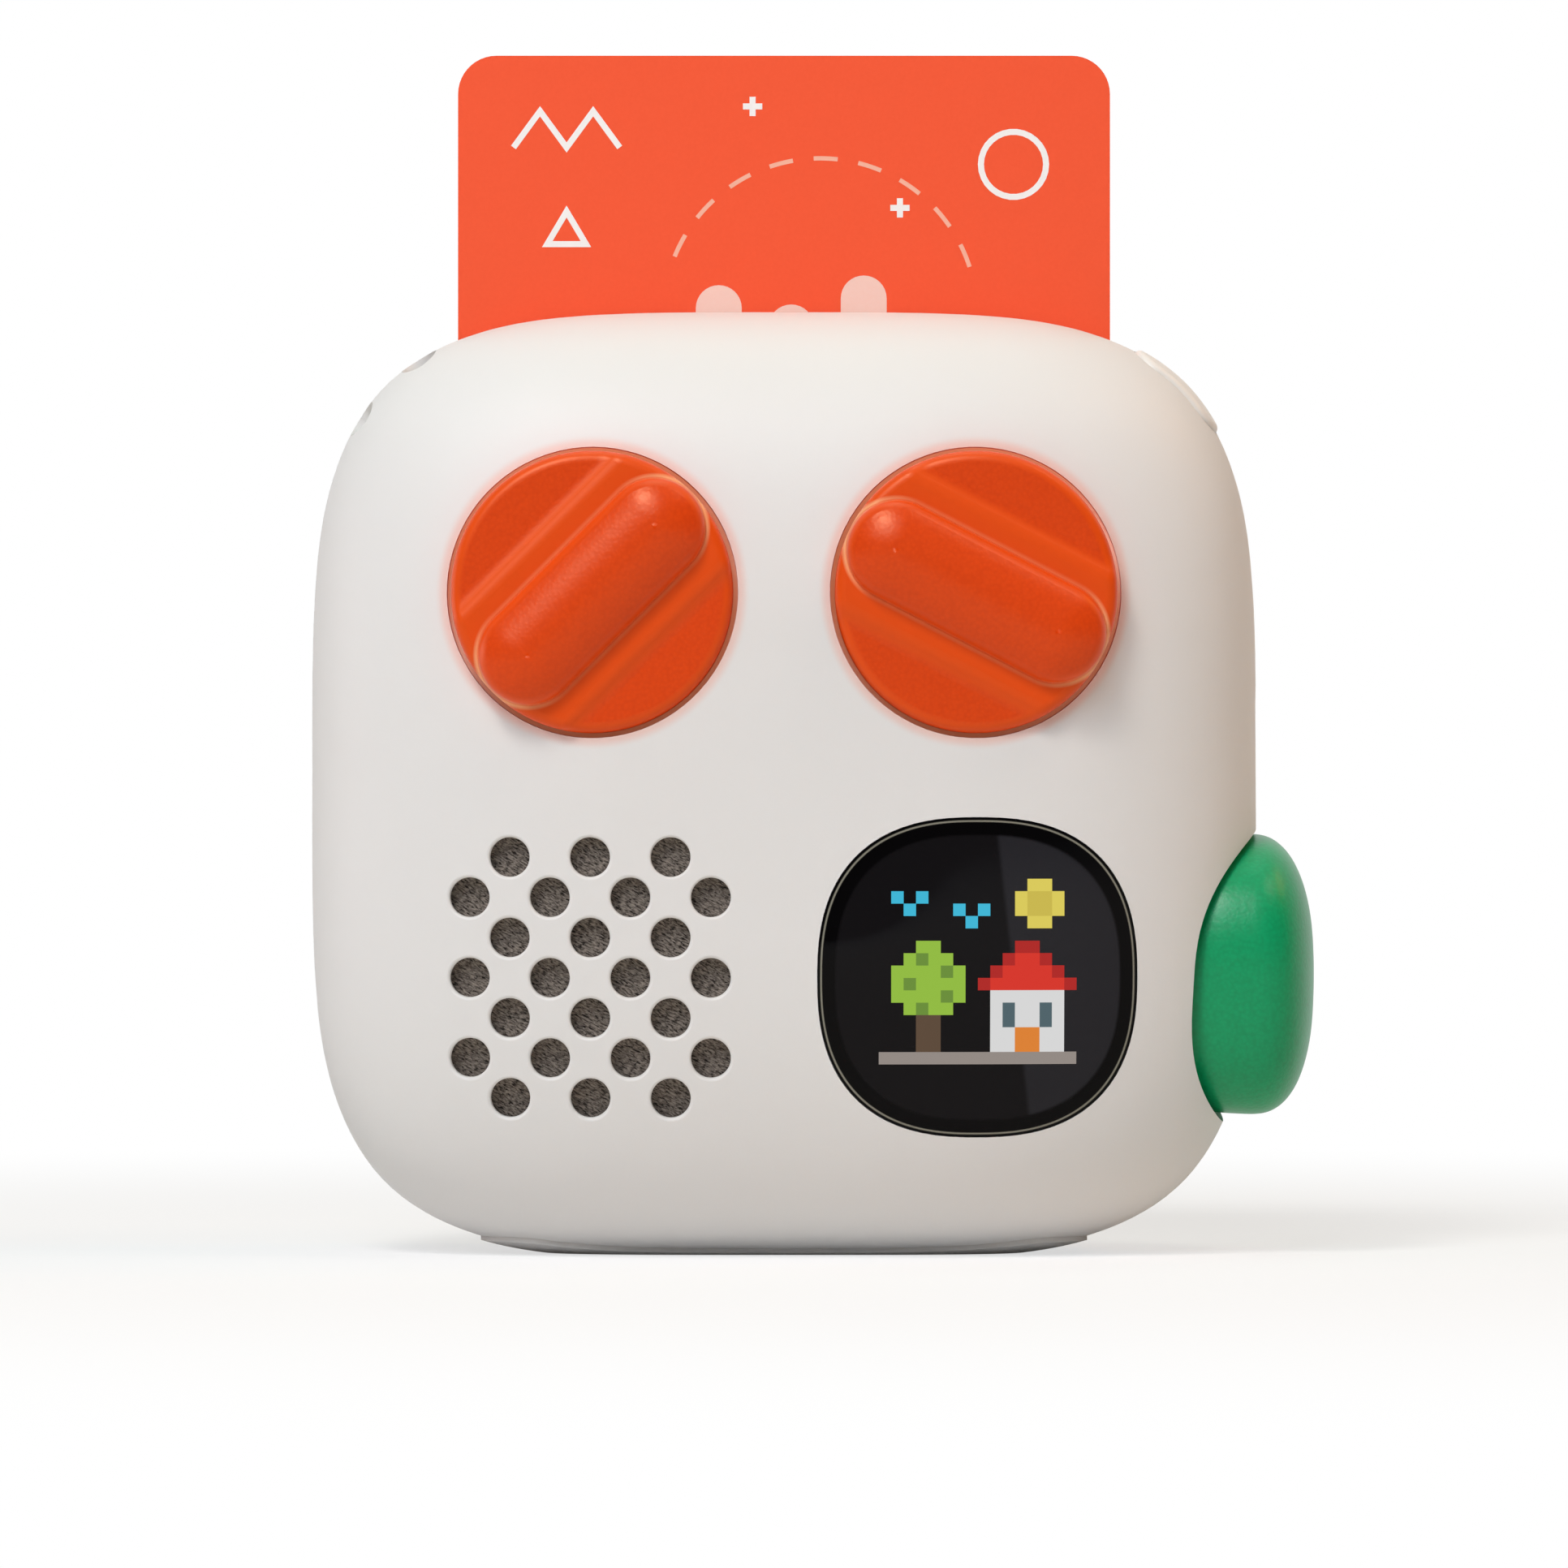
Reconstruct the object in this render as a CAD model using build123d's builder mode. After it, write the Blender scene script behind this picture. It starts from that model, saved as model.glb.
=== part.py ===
from build123d import *
import os
from math import cos, hypot, pi, radians, sin, sqrt, tan

os.makedirs("parts", exist_ok=True)

# An audio story player: a soft square box with two ridged knobs, a speaker grille, a pixel
# display, a side button, a corner button and a story card that stands in a slot in its top.
# Millimetres, +Z up, front towards -Y. The origin is under the middle of the base pad, and
# y = 0 is the plane where the body is widest.

# ---------------------------------------------------------------- driving dimensions
# General
past = 1.0                # how far a cutting form runs beyond what it cuts
seat_gap = 0.02           # between glued or seated faces
inside_gap = 0.05         # between the shells' inside and the parts fitted to it
skin_depth = 4.0          # forms cut from the front skin start this far behind the pockets

# Body
body_half = 38.9          # half the width, and half the height before the flat underside
front_depth = 18.0        # from the widest plane to the front
rear_depth = 18.0         # from the widest plane to the back
crest_power = 4.1         # squareness of the widest section
cap_power = 3.0           # squareness of the front and rear flats
front_flat_share = 0.30   # flat part of the front, as a share of the half width
rear_flat_share = 0.45
front_round = 2.4         # how square the front's side profile is
rear_round = 2.8
wall = 2.2
base_cut = 0.83           # how much the flat underside takes off
parting_y = 5.0           # plane between the front and rear shells
parting_gap = 0.12

# Base pad
pad_length = 50.0
pad_width = 12.0
pad_corner = 5.6
pad_block = 6.0           # height of the block that the pad is trimmed from
pad_proud = 0.53          # below the shells' flat underside
pad_swell = 0.3           # proud of the shells at its ends
pad_recess = 0.6
pad_gap = 0.15

# Story card, an ID-1 card, and its guide
card_width = 53.98
card_height = 85.60
card_thick = 0.76
card_corner = 3.18
card_y = 3.0
card_bottom = 13.3
card_side_gap = 0.35
card_face_gap = 0.20
card_foot_gap = 0.3
guide_wall = 0.64
guide_side_wall = 1.6
guide_floor_thick = 1.2
slot_face_gap = 0.28
antenna_thick = 0.2
antenna_width = 42.0
antenna_height = 40.0
antenna_track = 4.0       # from its outer edge to its inner edge
antenna_corner = 4.0
antenna_inner_corner = 2.5

# Knobs
knob_offset = 15.5        # from the body's centre, sideways and up
knob_radius = 11.4
knob_gap = 0.4
pocket_depth = 4.0
pocket_wall = 1.6
knob_under_gap = 1.0
crescent_proud = 0.55     # side crescents above the body's front
band_proud = 1.05         # band across the knob, above the body's front
band_half_width = 6.38    # to the middle of its edge
band_slope = 30           # degrees, where it falls to the crescents
band_round = 1.7          # both arcs of that fall
ridge_proud = 3.4
ridge_half_length = 7.22  # centre to the ridge's end centres
ridge_half_width = 4.07
ridge_crown = 1.6         # middle of its top above the sides
ridge_shoulder = 1.6
rim_fillet = 0.9
left_ridge_angle = 45.0
right_ridge_angle = -27.4
hub_radius = 4.4
hub_gap = 0.6
hub_back = 0.6            # hub's end forward of the pocket floor's back
shaft_cover = 0.85        # from the shaft's tip to the crescents' level

# Push encoders
encoder_size = 12.0
encoder_corner = 0.6
encoder_height = 5.5
encoder_gap = 0.9         # behind the pocket floor
encoder_floor = 0.8
plunger_radius = 4.0
plunger_length = 3.0
shaft_radius = 3.0
shaft_flat = 0.6          # depth of the flat on the shaft
shoulder_drop = 0.1       # shaft's shoulder inside the encoder's front
journal_radius = 2.0
running_gap = 0.05
clip_radius = 3.2
clip_thick = 0.45
clip_mouth = 1.6

# Grille and speaker
quarter_offset = 15.65    # grille, display and side button, below and beside the centre
hole_radius = 1.6
hole_pitch = 6.5          # in a row; rows are half of this apart
hole_rows = 7
row_holes = 4             # in the fuller rows, one less in the others
hole_round = 0.25
grille_wall = 1.2
cloth_radius = 14.0
cloth_thick = 0.6
cloth_gap = 0.1
speaker_radius = 13.0
speaker_drop = 6.4        # speaker's front flange behind the body's front
flange_thick = 1.0
frame_rim = 1.4           # flat rim outside the surround, under the gasket
surround_ledge = 0.6
surround_drop = 0.5       # surround's seat behind the frame's front
surround_thick = 0.3
surround_lap = 1.4        # glued on the cone's edge
roll_cone_gap = 0.2       # from the cone's edge to the roll
roll_frame_gap = 0.5      # from the roll to the frame's rim
cone_radius = 8.6
basket_depth = 4.6
basket_wall = 0.8
basket_step = 0.2
basket_window = (6.0, 5.0)
window_edge = 0.4
magnet_radius = 7.5
magnet_depth = 4.4
back_plate = 1.2
pole_radius = 2.8
coil_radius = 3.2
coil_wall = 0.3
coil_gap = 0.3
coil_lift = 1.2           # coil's end above the back plate
cone_thick = 0.4
cone_depth = 3.0
cap_rise = 1.1
cap_thick = 0.3
cap_lap = 0.5             # beyond the coil

# Display
lens_half = 12.92
lens_power = 2.5
lens_gap = 0.06
lens_thick = 1.6
lens_ledge = 1.4
grid_gap = 0.2
grid_flange = 0.8         # light grid's rim behind the wall
panel_thick = 1.2
panel_back = 10.0         # forward of the widest plane
header_length = 18.0
header_width = 2.5

# Boards
board_thick = 1.6
board_edge_gap = 0.6
board_half = 30.5
board_top_drop = 1.1      # top edge below the board's half width
board_low_rise = 1.6      # lower edge of its wide upper part above the centre
board_inner_edge = 0.8    # inner edge of its lower right part
board_foot_drop = 26.8    # its foot below the centre
board_chamfer = 4.0
boss_clear = 0.4          # between a board and the screw bosses
module_height = 2.2
chip_height = 1.0
plug_height = 3.0
battery_plug_size = (4.4, 6.0)
speaker_plug_size = (5.0, 4.0)
post_inner = 10.0         # board posts, from each knob's axis
post_rise = 3.9
post_outer = 8.6
post_fall = 6.6
post_radius = 2.2
board_screw_radius = 0.75
board_screw_length = 5.0
board_screw_head = 1.5
board_screw_head_height = 1.0

# Side button
side_half = 11.45
side_power = 2.55
side_lean = 5.0           # degrees, its top edge leans forwards
side_dome_power = 2.45
side_dome_height = 5.2
side_dome_sink = 0.46     # dome's foot inside the body's half width
side_belly = 5.0          # how far its sides curve in, below the dome's foot
side_taper = 0.05         # how much they curve in, as a share of its half width
belly_steps = 3
side_gap = 0.6
collar_wall = 1.4
collar_depth = 5.9        # from the body's half width inwards
side_skirt = 1.5
skirt_gap = 0.2           # skirt's end outside the collar's start
tab_gap = 0.2
tab_thick = 1.2
tab_reach = 1.3
tab_width = 4.0
tab_inset = 0.2           # tabs' legs inside the skirt's face
switch_y = -2.5
switch_size = (4.8, 3.8, 6.0)
switch_edge = 1.6         # switch's front inside the board's edge
switch_bore = 2.6
switch_pin_radius = 1.2
switch_pin_reach = 0.4    # pin's tip beyond the board's edge
switch_pin_sink = 1.6     # pin's foot inside the switch
side_post_wall = 0.4

# Corner button
corner_y = -2.0
corner_length = 9.4
corner_width = 5.2
corner_gap = 0.12
corner_proud = 0.3
corner_round = 0.6
corner_hole_depth = 6.0
corner_form = 3.0         # forms for the button run this far beyond the corner
corner_flange = 0.8
corner_flange_rim = 0.4
corner_flange_end = 0.8
corner_flange_drop = 1.9
corner_switch_size = (6.0, 3.5, 3.3)
corner_pin_radius = 0.9
corner_pin_length = 1.5
corner_pin_sink = 1.4
corner_pin_bore = 2.2

# Strap bar
strap_y = -2.5
strap_ring = 3.4          # from the corner's surface to the tunnel's centre line
strap_half_high = 1.65
strap_half_wide = 2.6
strap_wall = 1.1

# Case screws
screw_radius = 1.0
screw_hole_gap = 0.15
screw_thread_gap = 0.02
screw_length = 10.0
screw_head_radius = 1.9
screw_head_height = 1.4
cross_length = 2.4
cross_width = 0.6
screw_seat = 3.0          # head's seat behind the parting plane
boss_radius = 3.0
boss_edge = 6.6           # upper boss axes inside the body's half width
boss_rise = 18.0          # upper bosses above the centre
boss_foot = 7.8           # lower boss axes above the body's lowest point
boss_spread = 9.0         # lower bosses beside the centre

# Battery
battery_width = 42.0
battery_height = 42.0
battery_thick = 6.8
battery_round = 2.6
battery_x = 3.0
battery_rise = 3.4
battery_gap = 1.8         # behind the card guide
foam_size = 28.0
foam_drop = 2.0

# Ports, on the left side behind the parting plane
port_board_width = 13.0
port_board_height = 30.0
port_board_thick = 1.0
port_board_x = -27.0
port_board_rise = 1.4     # above the body's centre
port_board_gap = 1.0      # behind the card guide
port_post_radius = 2.0
port_post_side = 2.6      # post axes beside the board's middle
port_post_edge = 2.2      # post axes inside the board's ends
port_screw_head_height = 0.7
port_hole_depth = 9.0     # from the body's half width inwards
jack_radius = 1.8
jack_wall = 1.2
jack_depth = 14.0
jack_body = (11.5, 5.6, 7.0)
jack_body_edge = 1.7      # its body inside the port board's edge
jack_rise = 8.4
jack_sink = 1.7           # tip inside the body's half width
port_gap = 0.2
usb_wide = 8.94
usb_high = 3.26
usb_depth = 7.35
usb_wall = 0.3
usb_back = 0.8
usb_tongue = (6.7, 0.7)
usb_tongue_sink = 1.4
usb_drop = 5.6
usb_sink = 1.8
ribbon_thick = 0.3
ribbon_width = 8.0
ribbon_clear = 0.9        # beside the card guide
ribbon_bend = 0.8
ribbon_port_end = 0.5     # beyond the port board's middle
ribbon_board_end = 5.0    # inside the main board's edge

# Leads
lead_radius = 0.6
lead_bend = 0.45          # a bend's tangent length as a share of the shorter run
battery_lead_out = 3.2    # beside the card guide

outline_points = 32
profile_steps = 8

# ---------------------------------------------------------------- worked-out places
far = 2 * body_half                                  # outside the body on every side
centre_z = pad_proud + body_half - base_cut
corner_reach = body_half * sqrt(2) * 2 ** (-1 / crest_power)
pocket_floor = front_depth - pocket_depth
pocket_back = pocket_floor - pocket_wall
skin_start = pocket_back - skin_depth
encoder_front = pocket_back - encoder_gap
board_front = encoder_front - encoder_height       # forward of the widest plane
board_back = board_front - board_thick
guide_half = card_thick / 2 + card_face_gap + guide_wall
guide_front_y = card_y - guide_half
guide_back_y = card_y + guide_half
low_z = centre_z - quarter_offset
knob_z = centre_z + knob_offset
knob_places = [(-knob_offset, knob_z), (knob_offset, knob_z)]
boss_x = body_half - boss_edge
screw_seat_at = -(parting_y + screw_seat)
board_thread_radius = board_screw_radius + screw_thread_gap
boss_places = [
    (-boss_x, centre_z + boss_rise),
    (boss_x, centre_z + boss_rise),
    (-boss_spread, centre_z - body_half + boss_foot),
    (boss_spread, centre_z - body_half + boss_foot),
]
hole_places = []
for row in range(hole_rows):
    count = row_holes - (row + 1) % 2
    for column in range(count):
        across = (column - (count - 1) / 2) * hole_pitch
        hole_places.append((across, (row - (hole_rows - 1) / 2) * hole_pitch / 2))
post_places = []
for side in (-1, 1):
    post_places.append((side * (knob_offset - post_inner), knob_z + post_rise))
    post_places.append((side * (knob_offset + post_outer), knob_z - post_fall))

body_plane = Plane(origin=(0, 0, centre_z), x_dir=(1, 0, 0), z_dir=(0, -1, 0))
ground_plane = Plane.XZ                              # offset moves forwards, towards -Y
knob_planes = {
    "left": Plane(origin=(-knob_offset, 0, knob_z), x_dir=(1, 0, 0), z_dir=(0, -1, 0)),
    "right": Plane(origin=(knob_offset, 0, knob_z), x_dir=(1, 0, 0), z_dir=(0, -1, 0)),
}
grille_plane = Plane(origin=(-quarter_offset, 0, low_z), x_dir=(1, 0, 0), z_dir=(0, -1, 0))
lens_plane = Plane(origin=(quarter_offset, 0, low_z), x_dir=(1, 0, 0), z_dir=(0, -1, 0))
side_back = (0, cos(radians(side_lean)), sin(radians(side_lean)))
side_plane = Plane(origin=(0, 0, low_z), x_dir=side_back, z_dir=(1, 0, 0))
corner_plane = Plane(origin=(0, corner_y, centre_z), x_dir=(1, 0, -1), z_dir=(1, 0, 1))
strap_origin = (-corner_reach / sqrt(2), strap_y, centre_z + corner_reach / sqrt(2))
strap_plane = Plane(origin=strap_origin, x_dir=(1, 0, -1), z_dir=(1, 0, 1))


# ---------------------------------------------------------------- shared forms
def soft_outline(half, power):
    """Points evenly turned around |u|^power + |v|^power = half^power."""
    points = []
    for step in range(outline_points):
        turn = 2 * pi * step / outline_points
        reach = (abs(cos(turn)) ** power + abs(sin(turn)) ** power) ** (1 / power)
        points.append((half * cos(turn) / reach, half * sin(turn) / reach))
    return points


def soft_prism(plane, half, power, start, end):
    """A soft square extruded along the plane's normal, from start to end."""
    with BuildPart() as prism:
        with BuildSketch(plane.offset(start)):
            with BuildLine():
                Spline(*soft_outline(half, power), periodic=True)
            make_face()
        extrude(amount=end - start)
    return prism.part


def soft_loft(plane, stations):
    """One smooth solid through soft squares given as (offset, half, power)."""
    with BuildPart() as form:
        for offset_at, half, power in stations:
            with BuildSketch(plane.offset(offset_at)):
                with BuildLine():
                    Spline(*soft_outline(half, power), periodic=True)
                make_face()
        loft()
    return form.part


def profile(round_power):
    """(across, along) shares from the flat's edge (0, 1) to the widest place (1, 0)."""
    shares = []
    for step in range(profile_steps + 1):
        turn = pi / 2 * step / profile_steps
        reach = (sin(turn) ** round_power + abs(cos(turn)) ** round_power) ** (1 / round_power)
        shares.append((sin(turn) / reach, cos(turn) / reach))
    return shares


def pillow(inset):
    """The body's form with every side moved in by inset."""
    half = body_half - inset
    stations = []
    for across, along in profile(front_round):
        size = half * (front_flat_share + (1 - front_flat_share) * across)
        power = crest_power + (cap_power - crest_power) * along**2
        stations.append(((front_depth - inset) * along, size, power))
    for across, along in reversed(profile(rear_round)[:-1]):
        size = half * (rear_flat_share + (1 - rear_flat_share) * across)
        power = crest_power + (cap_power - crest_power) * along**2
        stations.append(((inset - rear_depth) * along, size, power))
    return soft_loft(body_plane, stations)


def pill(plane, length, width, start, end):
    """A flat-sided bar with round ends, extruded from start to end."""
    with BuildPart() as bar:
        with BuildSketch(plane.offset(start)):
            SlotOverall(length, width)
        extrude(amount=end - start)
    return bar.part


def drum(plane, radius, start, end):
    """A round bar along the plane's normal, from start to end."""
    with BuildPart() as bar:
        with BuildSketch(plane.offset(start)):
            Circle(radius)
        extrude(amount=end - start)
    return bar.part


def block(low, high):
    """A box between two corners."""
    with BuildPart() as box:
        with BuildSketch(Plane.XY.offset(low[2])):
            with Locations(((low[0] + high[0]) / 2, (low[1] + high[1]) / 2)):
                Rectangle(high[0] - low[0], high[1] - low[1])
        extrude(amount=high[2] - low[2])
    return box.part


def at(x, z):
    """A plane facing forwards with its origin at x, z on the widest plane."""
    return Plane(origin=(x, 0, z), x_dir=(1, 0, 0), z_dir=(0, -1, 0))


body_form = pillow(0)
mid_form = pillow(wall / 2)
cavity_form = pillow(wall)
inside_form = pillow(wall + inside_gap)

# ---------------------------------------------------------------- housing
# Everything the two shells are moulded with, before they are parted.
side_pocket_half = side_half + side_gap
collar_start = body_half - collar_depth
hub_hole = hub_radius + hub_gap

with BuildPart() as inner_walls:
    with BuildSketch(ground_plane.offset(pocket_back)):
        with Locations(*knob_places):
            Circle(knob_radius + knob_gap + pocket_wall)
    extrude(amount=front_depth + past - pocket_back)
    add(soft_prism(side_plane, side_pocket_half + collar_wall, side_power, collar_start, far))
    with BuildSketch(ground_plane):
        with Locations(*boss_places):
            Circle(boss_radius)
    extrude(amount=far, both=True)
    with BuildSketch(ground_plane.offset(board_front)):
        with Locations(*post_places):
            Circle(post_radius)
    extrude(amount=pocket_floor - board_front)
    with BuildSketch(strap_plane):
        with Locations((strap_ring, 0)):
            Ellipse(strap_half_high + strap_wall, strap_half_wide + strap_wall)
    revolve(axis=Axis(strap_origin, (0, 1, 0)))
    add(mid_form, mode=Mode.INTERSECT)

port_board_y = guide_back_y + port_board_gap
port_board_back = port_board_y + port_board_thick
port_board_z = centre_z + port_board_rise
port_post_places = []
for fall in (-1, 1):
    fall_by = fall * (port_board_height / 2 - port_post_edge)
    port_post_places.append((port_board_x + port_post_side, port_board_z + fall_by))

with BuildPart() as port_posts:
    with BuildSketch(ground_plane.offset(-port_board_back)):
        with Locations(*port_post_places):
            Circle(port_post_radius)
    extrude(amount=-far)
    add(mid_form, mode=Mode.INTERSECT)

jack_y = port_board_back + jack_radius + jack_wall
jack_z = centre_z + jack_rise
jack_plane = Plane(origin=(0, jack_y, jack_z), x_dir=(0, 1, 0), z_dir=(-1, 0, 0))
usb_y = port_board_back + usb_high / 2
usb_plane = Plane(origin=(0, usb_y, centre_z - usb_drop), x_dir=(0, 0, 1), z_dir=(-1, 0, 0))

with BuildPart() as grille_thinning:
    add(drum(grille_plane, cloth_radius + cloth_gap, skin_start, front_depth))
    add(pillow(grille_wall), mode=Mode.INTERSECT)

with BuildPart() as lens_recess:
    add(soft_prism(lens_plane, lens_half + lens_gap, lens_power, skin_start, front_depth + past))
    add(pillow(lens_thick), mode=Mode.SUBTRACT)

with BuildPart() as pad_seat:
    with BuildSketch(Plane.XY.offset(-pad_proud)):
        RectangleRounded(pad_length + 2 * pad_gap, pad_width + 2 * pad_gap, pad_corner + pad_gap)
    extrude(amount=pad_block)
    add(pillow(pad_recess), mode=Mode.SUBTRACT)

with BuildPart() as housing:
    add(body_form)
    add(cavity_form, mode=Mode.SUBTRACT)
    add(inner_walls.part)
    add(port_posts.part)
    # knob pockets, with a hole for each knob's hub
    with BuildSketch(ground_plane.offset(pocket_floor)):
        with Locations(*knob_places):
            Circle(knob_radius + knob_gap)
    extrude(amount=pocket_depth + past, mode=Mode.SUBTRACT)
    with BuildSketch(ground_plane.offset(pocket_back - past)):
        with Locations(*knob_places):
            Circle(hub_hole)
    extrude(amount=pocket_wall + past, mode=Mode.SUBTRACT)
    # grille: a thinner wall with staggered rows of holes
    add(grille_thinning.part, mode=Mode.SUBTRACT)
    with BuildSketch(grille_plane.offset(skin_start)):
        with Locations(*hole_places):
            Circle(hole_radius)
    extrude(amount=front_depth, mode=Mode.SUBTRACT)
    # display: a seat for the lens and the window behind it
    add(lens_recess.part, mode=Mode.SUBTRACT)
    window = soft_prism(lens_plane, lens_half - lens_ledge, lens_power, skin_start, front_depth)
    add(window, mode=Mode.SUBTRACT)
    # side button pocket
    add(soft_prism(side_plane, side_pocket_half, side_power, collar_start - past, far), mode=Mode.SUBTRACT)
    # corner button hole
    hole_length = corner_length + 2 * corner_gap
    hole_width = corner_width + 2 * corner_gap
    hole_start = corner_reach - corner_hole_depth
    hole_end = corner_reach + corner_form
    add(pill(corner_plane, hole_length, hole_width, hole_start, hole_end), mode=Mode.SUBTRACT)
    # strap tunnel
    with BuildSketch(strap_plane):
        with Locations((strap_ring, 0)):
            Ellipse(strap_half_high, strap_half_wide)
    revolve(axis=Axis(strap_origin, (0, 1, 0)), mode=Mode.SUBTRACT)
    # card slot
    slot_x = card_width / 2 + card_side_gap
    slot_y = card_thick / 2 + slot_face_gap
    slot_low = (-slot_x, card_y - slot_y, centre_z)
    slot_high = (slot_x, card_y + slot_y, centre_z + body_half + past)
    add(block(slot_low, slot_high), mode=Mode.SUBTRACT)
    # screws: a clearance hole and head well from behind, a thread hole in front
    screw_steps = (
        (boss_places, -far, screw_seat_at, screw_head_radius + screw_hole_gap),
        (boss_places, screw_seat_at, -parting_y, screw_radius + screw_hole_gap),
        (boss_places, -parting_y, screw_seat_at + screw_length + past, screw_radius + screw_thread_gap),
        (post_places, board_front, board_front + board_screw_length, board_thread_radius),
        (port_post_places, -port_board_back - board_screw_length, -port_board_back, board_thread_radius),
    )
    for places, start, end, radius in screw_steps:
        with BuildSketch(ground_plane.offset(start)):
            with Locations(*places):
                Circle(radius)
        extrude(amount=end - start, mode=Mode.SUBTRACT)
    # port openings
    port_start = body_half - port_hole_depth
    port_end = body_half + past
    add(drum(jack_plane, jack_radius + jack_wall + port_gap, port_start, port_end), mode=Mode.SUBTRACT)
    usb_hole = pill(usb_plane, usb_wide + 2 * port_gap, usb_high + 2 * port_gap, port_start, port_end)
    add(usb_hole, mode=Mode.SUBTRACT)
    # flat underside and the pad's seat
    add(block((-far, -far, -far), (far, far, pad_proud)), mode=Mode.SUBTRACT)
    add(pad_seat.part, mode=Mode.SUBTRACT)


def hole_rims(part):
    """The outer edges of the grille's holes."""
    found = {place: [] for place in hole_places}
    for edge in part.edges().filter_by(GeomType.LINE, reverse=True):
        spots = [grille_plane.to_local_coords(edge @ share) for share in (0, 0.5, 1)]
        level = min(spot.Z for spot in spots)
        for x, y in hole_places:
            if all(abs(hypot(spot.X - x, spot.Y - y) - hole_radius) < seat_gap for spot in spots):
                found[(x, y)].append((level, edge))
    rims = []
    for around in found.values():
        highest = max(level for level, edge in around)
        rims += [edge for level, edge in around if level > highest - grille_wall / 2]
    return rims


with housing:
    fillet(hole_rims(housing.part), hole_round)

with BuildPart() as front_shell:
    add(housing.part)
    split(bisect_by=ground_plane.offset(-(parting_y - parting_gap / 2)), keep=Keep.TOP)
front_shell.part.label = "front_shell"
export_step(front_shell.part, "parts/front_shell.step")

with BuildPart() as rear_shell:
    add(housing.part)
    split(bisect_by=ground_plane.offset(-(parting_y + parting_gap / 2)), keep=Keep.BOTTOM)
rear_shell.part.label = "rear_shell"
export_step(rear_shell.part, "parts/rear_shell.step")

# ---------------------------------------------------------------- base pad
with BuildPart() as base_pad:
    with BuildSketch(Plane.XY):
        RectangleRounded(pad_length, pad_width, pad_corner)
    extrude(amount=pad_block)
    add(pillow(-pad_swell), mode=Mode.INTERSECT)
    add(pillow(pad_recess), mode=Mode.SUBTRACT)
base_pad.part.label = "base_pad"
export_step(base_pad.part, "parts/base_pad.step")

# ---------------------------------------------------------------- display
with BuildPart() as display_lens:
    add(soft_prism(lens_plane, lens_half, lens_power, skin_start, front_depth + past))
    add(body_form, mode=Mode.INTERSECT)
    add(pillow(lens_thick - seat_gap), mode=Mode.SUBTRACT)
display_lens.part.label = "display_lens"
export_step(display_lens.part, "parts/display_lens.step")

# Light grid: its front follows the lens, and its flange sits behind the wall's ledge.
panel_front = panel_back + panel_thick
grid_half = lens_half - lens_ledge - grid_gap
with BuildPart() as grid_front:
    add(soft_prism(lens_plane, grid_half, lens_power, panel_front, front_depth))
    add(pillow(lens_thick + inside_gap), mode=Mode.INTERSECT)
with BuildPart() as display_frame:
    add(soft_prism(lens_plane, grid_half + grid_flange, lens_power, panel_front, front_depth))
    add(inside_form, mode=Mode.INTERSECT)
    add(grid_front.part)
display_frame.part.label = "display_frame"
export_step(display_frame.part, "parts/display_frame.step")

with BuildPart() as display_panel:
    add(soft_prism(lens_plane, grid_half + grid_flange, lens_power, panel_back, panel_front))
    add(inside_form, mode=Mode.INTERSECT)
display_panel.part.label = "display_panel"
export_step(display_panel.part, "parts/display_panel.step")

with BuildPart() as display_header:
    with BuildSketch(lens_plane.offset(board_front)):
        with Locations((0, grid_half - header_width)):
            Rectangle(header_length, header_width)
    extrude(amount=panel_back - board_front)
display_header.part.label = "display_header"
export_step(display_header.part, "parts/display_header.step")

# ---------------------------------------------------------------- speaker
speaker_front = front_depth - speaker_drop
basket_back = speaker_front - flange_thick - basket_depth
magnet_back = basket_back - magnet_depth
coil_slot = coil_radius + coil_wall + coil_gap

with BuildPart() as speaker_cloth:
    add(drum(grille_plane, cloth_radius, skin_start, front_depth))
    add(pillow(grille_wall + seat_gap), mode=Mode.INTERSECT)
    add(pillow(grille_wall + cloth_thick), mode=Mode.SUBTRACT)
speaker_cloth.part.label = "speaker_cloth"
export_step(speaker_cloth.part, "parts/speaker_cloth.step")

with BuildPart() as speaker_gasket:
    add(drum(grille_plane, speaker_radius, speaker_front, front_depth))
    add(drum(grille_plane, speaker_radius - frame_rim, speaker_front, front_depth), mode=Mode.SUBTRACT)
    add(pillow(grille_wall + cloth_thick + seat_gap), mode=Mode.INTERSECT)
speaker_gasket.part.label = "speaker_gasket"
export_step(speaker_gasket.part, "parts/speaker_gasket.step")

surround_outer = speaker_radius - frame_rim
surround_seat = speaker_front - surround_drop
with BuildPart() as speaker_frame:
    with BuildSketch(Plane(origin=grille_plane.origin, x_dir=(1, 0, 0), z_dir=(0, 0, 1))):
        with BuildLine():
            Polyline(
                (speaker_radius, -speaker_front),
                (speaker_radius, -(speaker_front - flange_thick)),
                (magnet_radius + basket_wall, -basket_back),
                (magnet_radius + basket_wall, -(basket_back - basket_wall)),
                (magnet_radius, -(basket_back - basket_wall)),
                (magnet_radius, -(basket_back + basket_wall)),
                (surround_outer - surround_ledge, -(speaker_front - flange_thick - basket_step)),
                (surround_outer - surround_ledge, -surround_seat),
                (surround_outer, -surround_seat),
                (surround_outer, -speaker_front),
                close=True,
            )
        make_face()
    revolve(axis=Axis(grille_plane.origin, (0, 1, 0)))
    with BuildSketch(grille_plane.offset(basket_back + basket_wall + window_edge)):
        with PolarLocations((speaker_radius + magnet_radius) / 2, 4, start_angle=45):
            Rectangle(*basket_window)
    extrude(amount=basket_depth - 2 * basket_wall - 3 * window_edge, mode=Mode.SUBTRACT)
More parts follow.
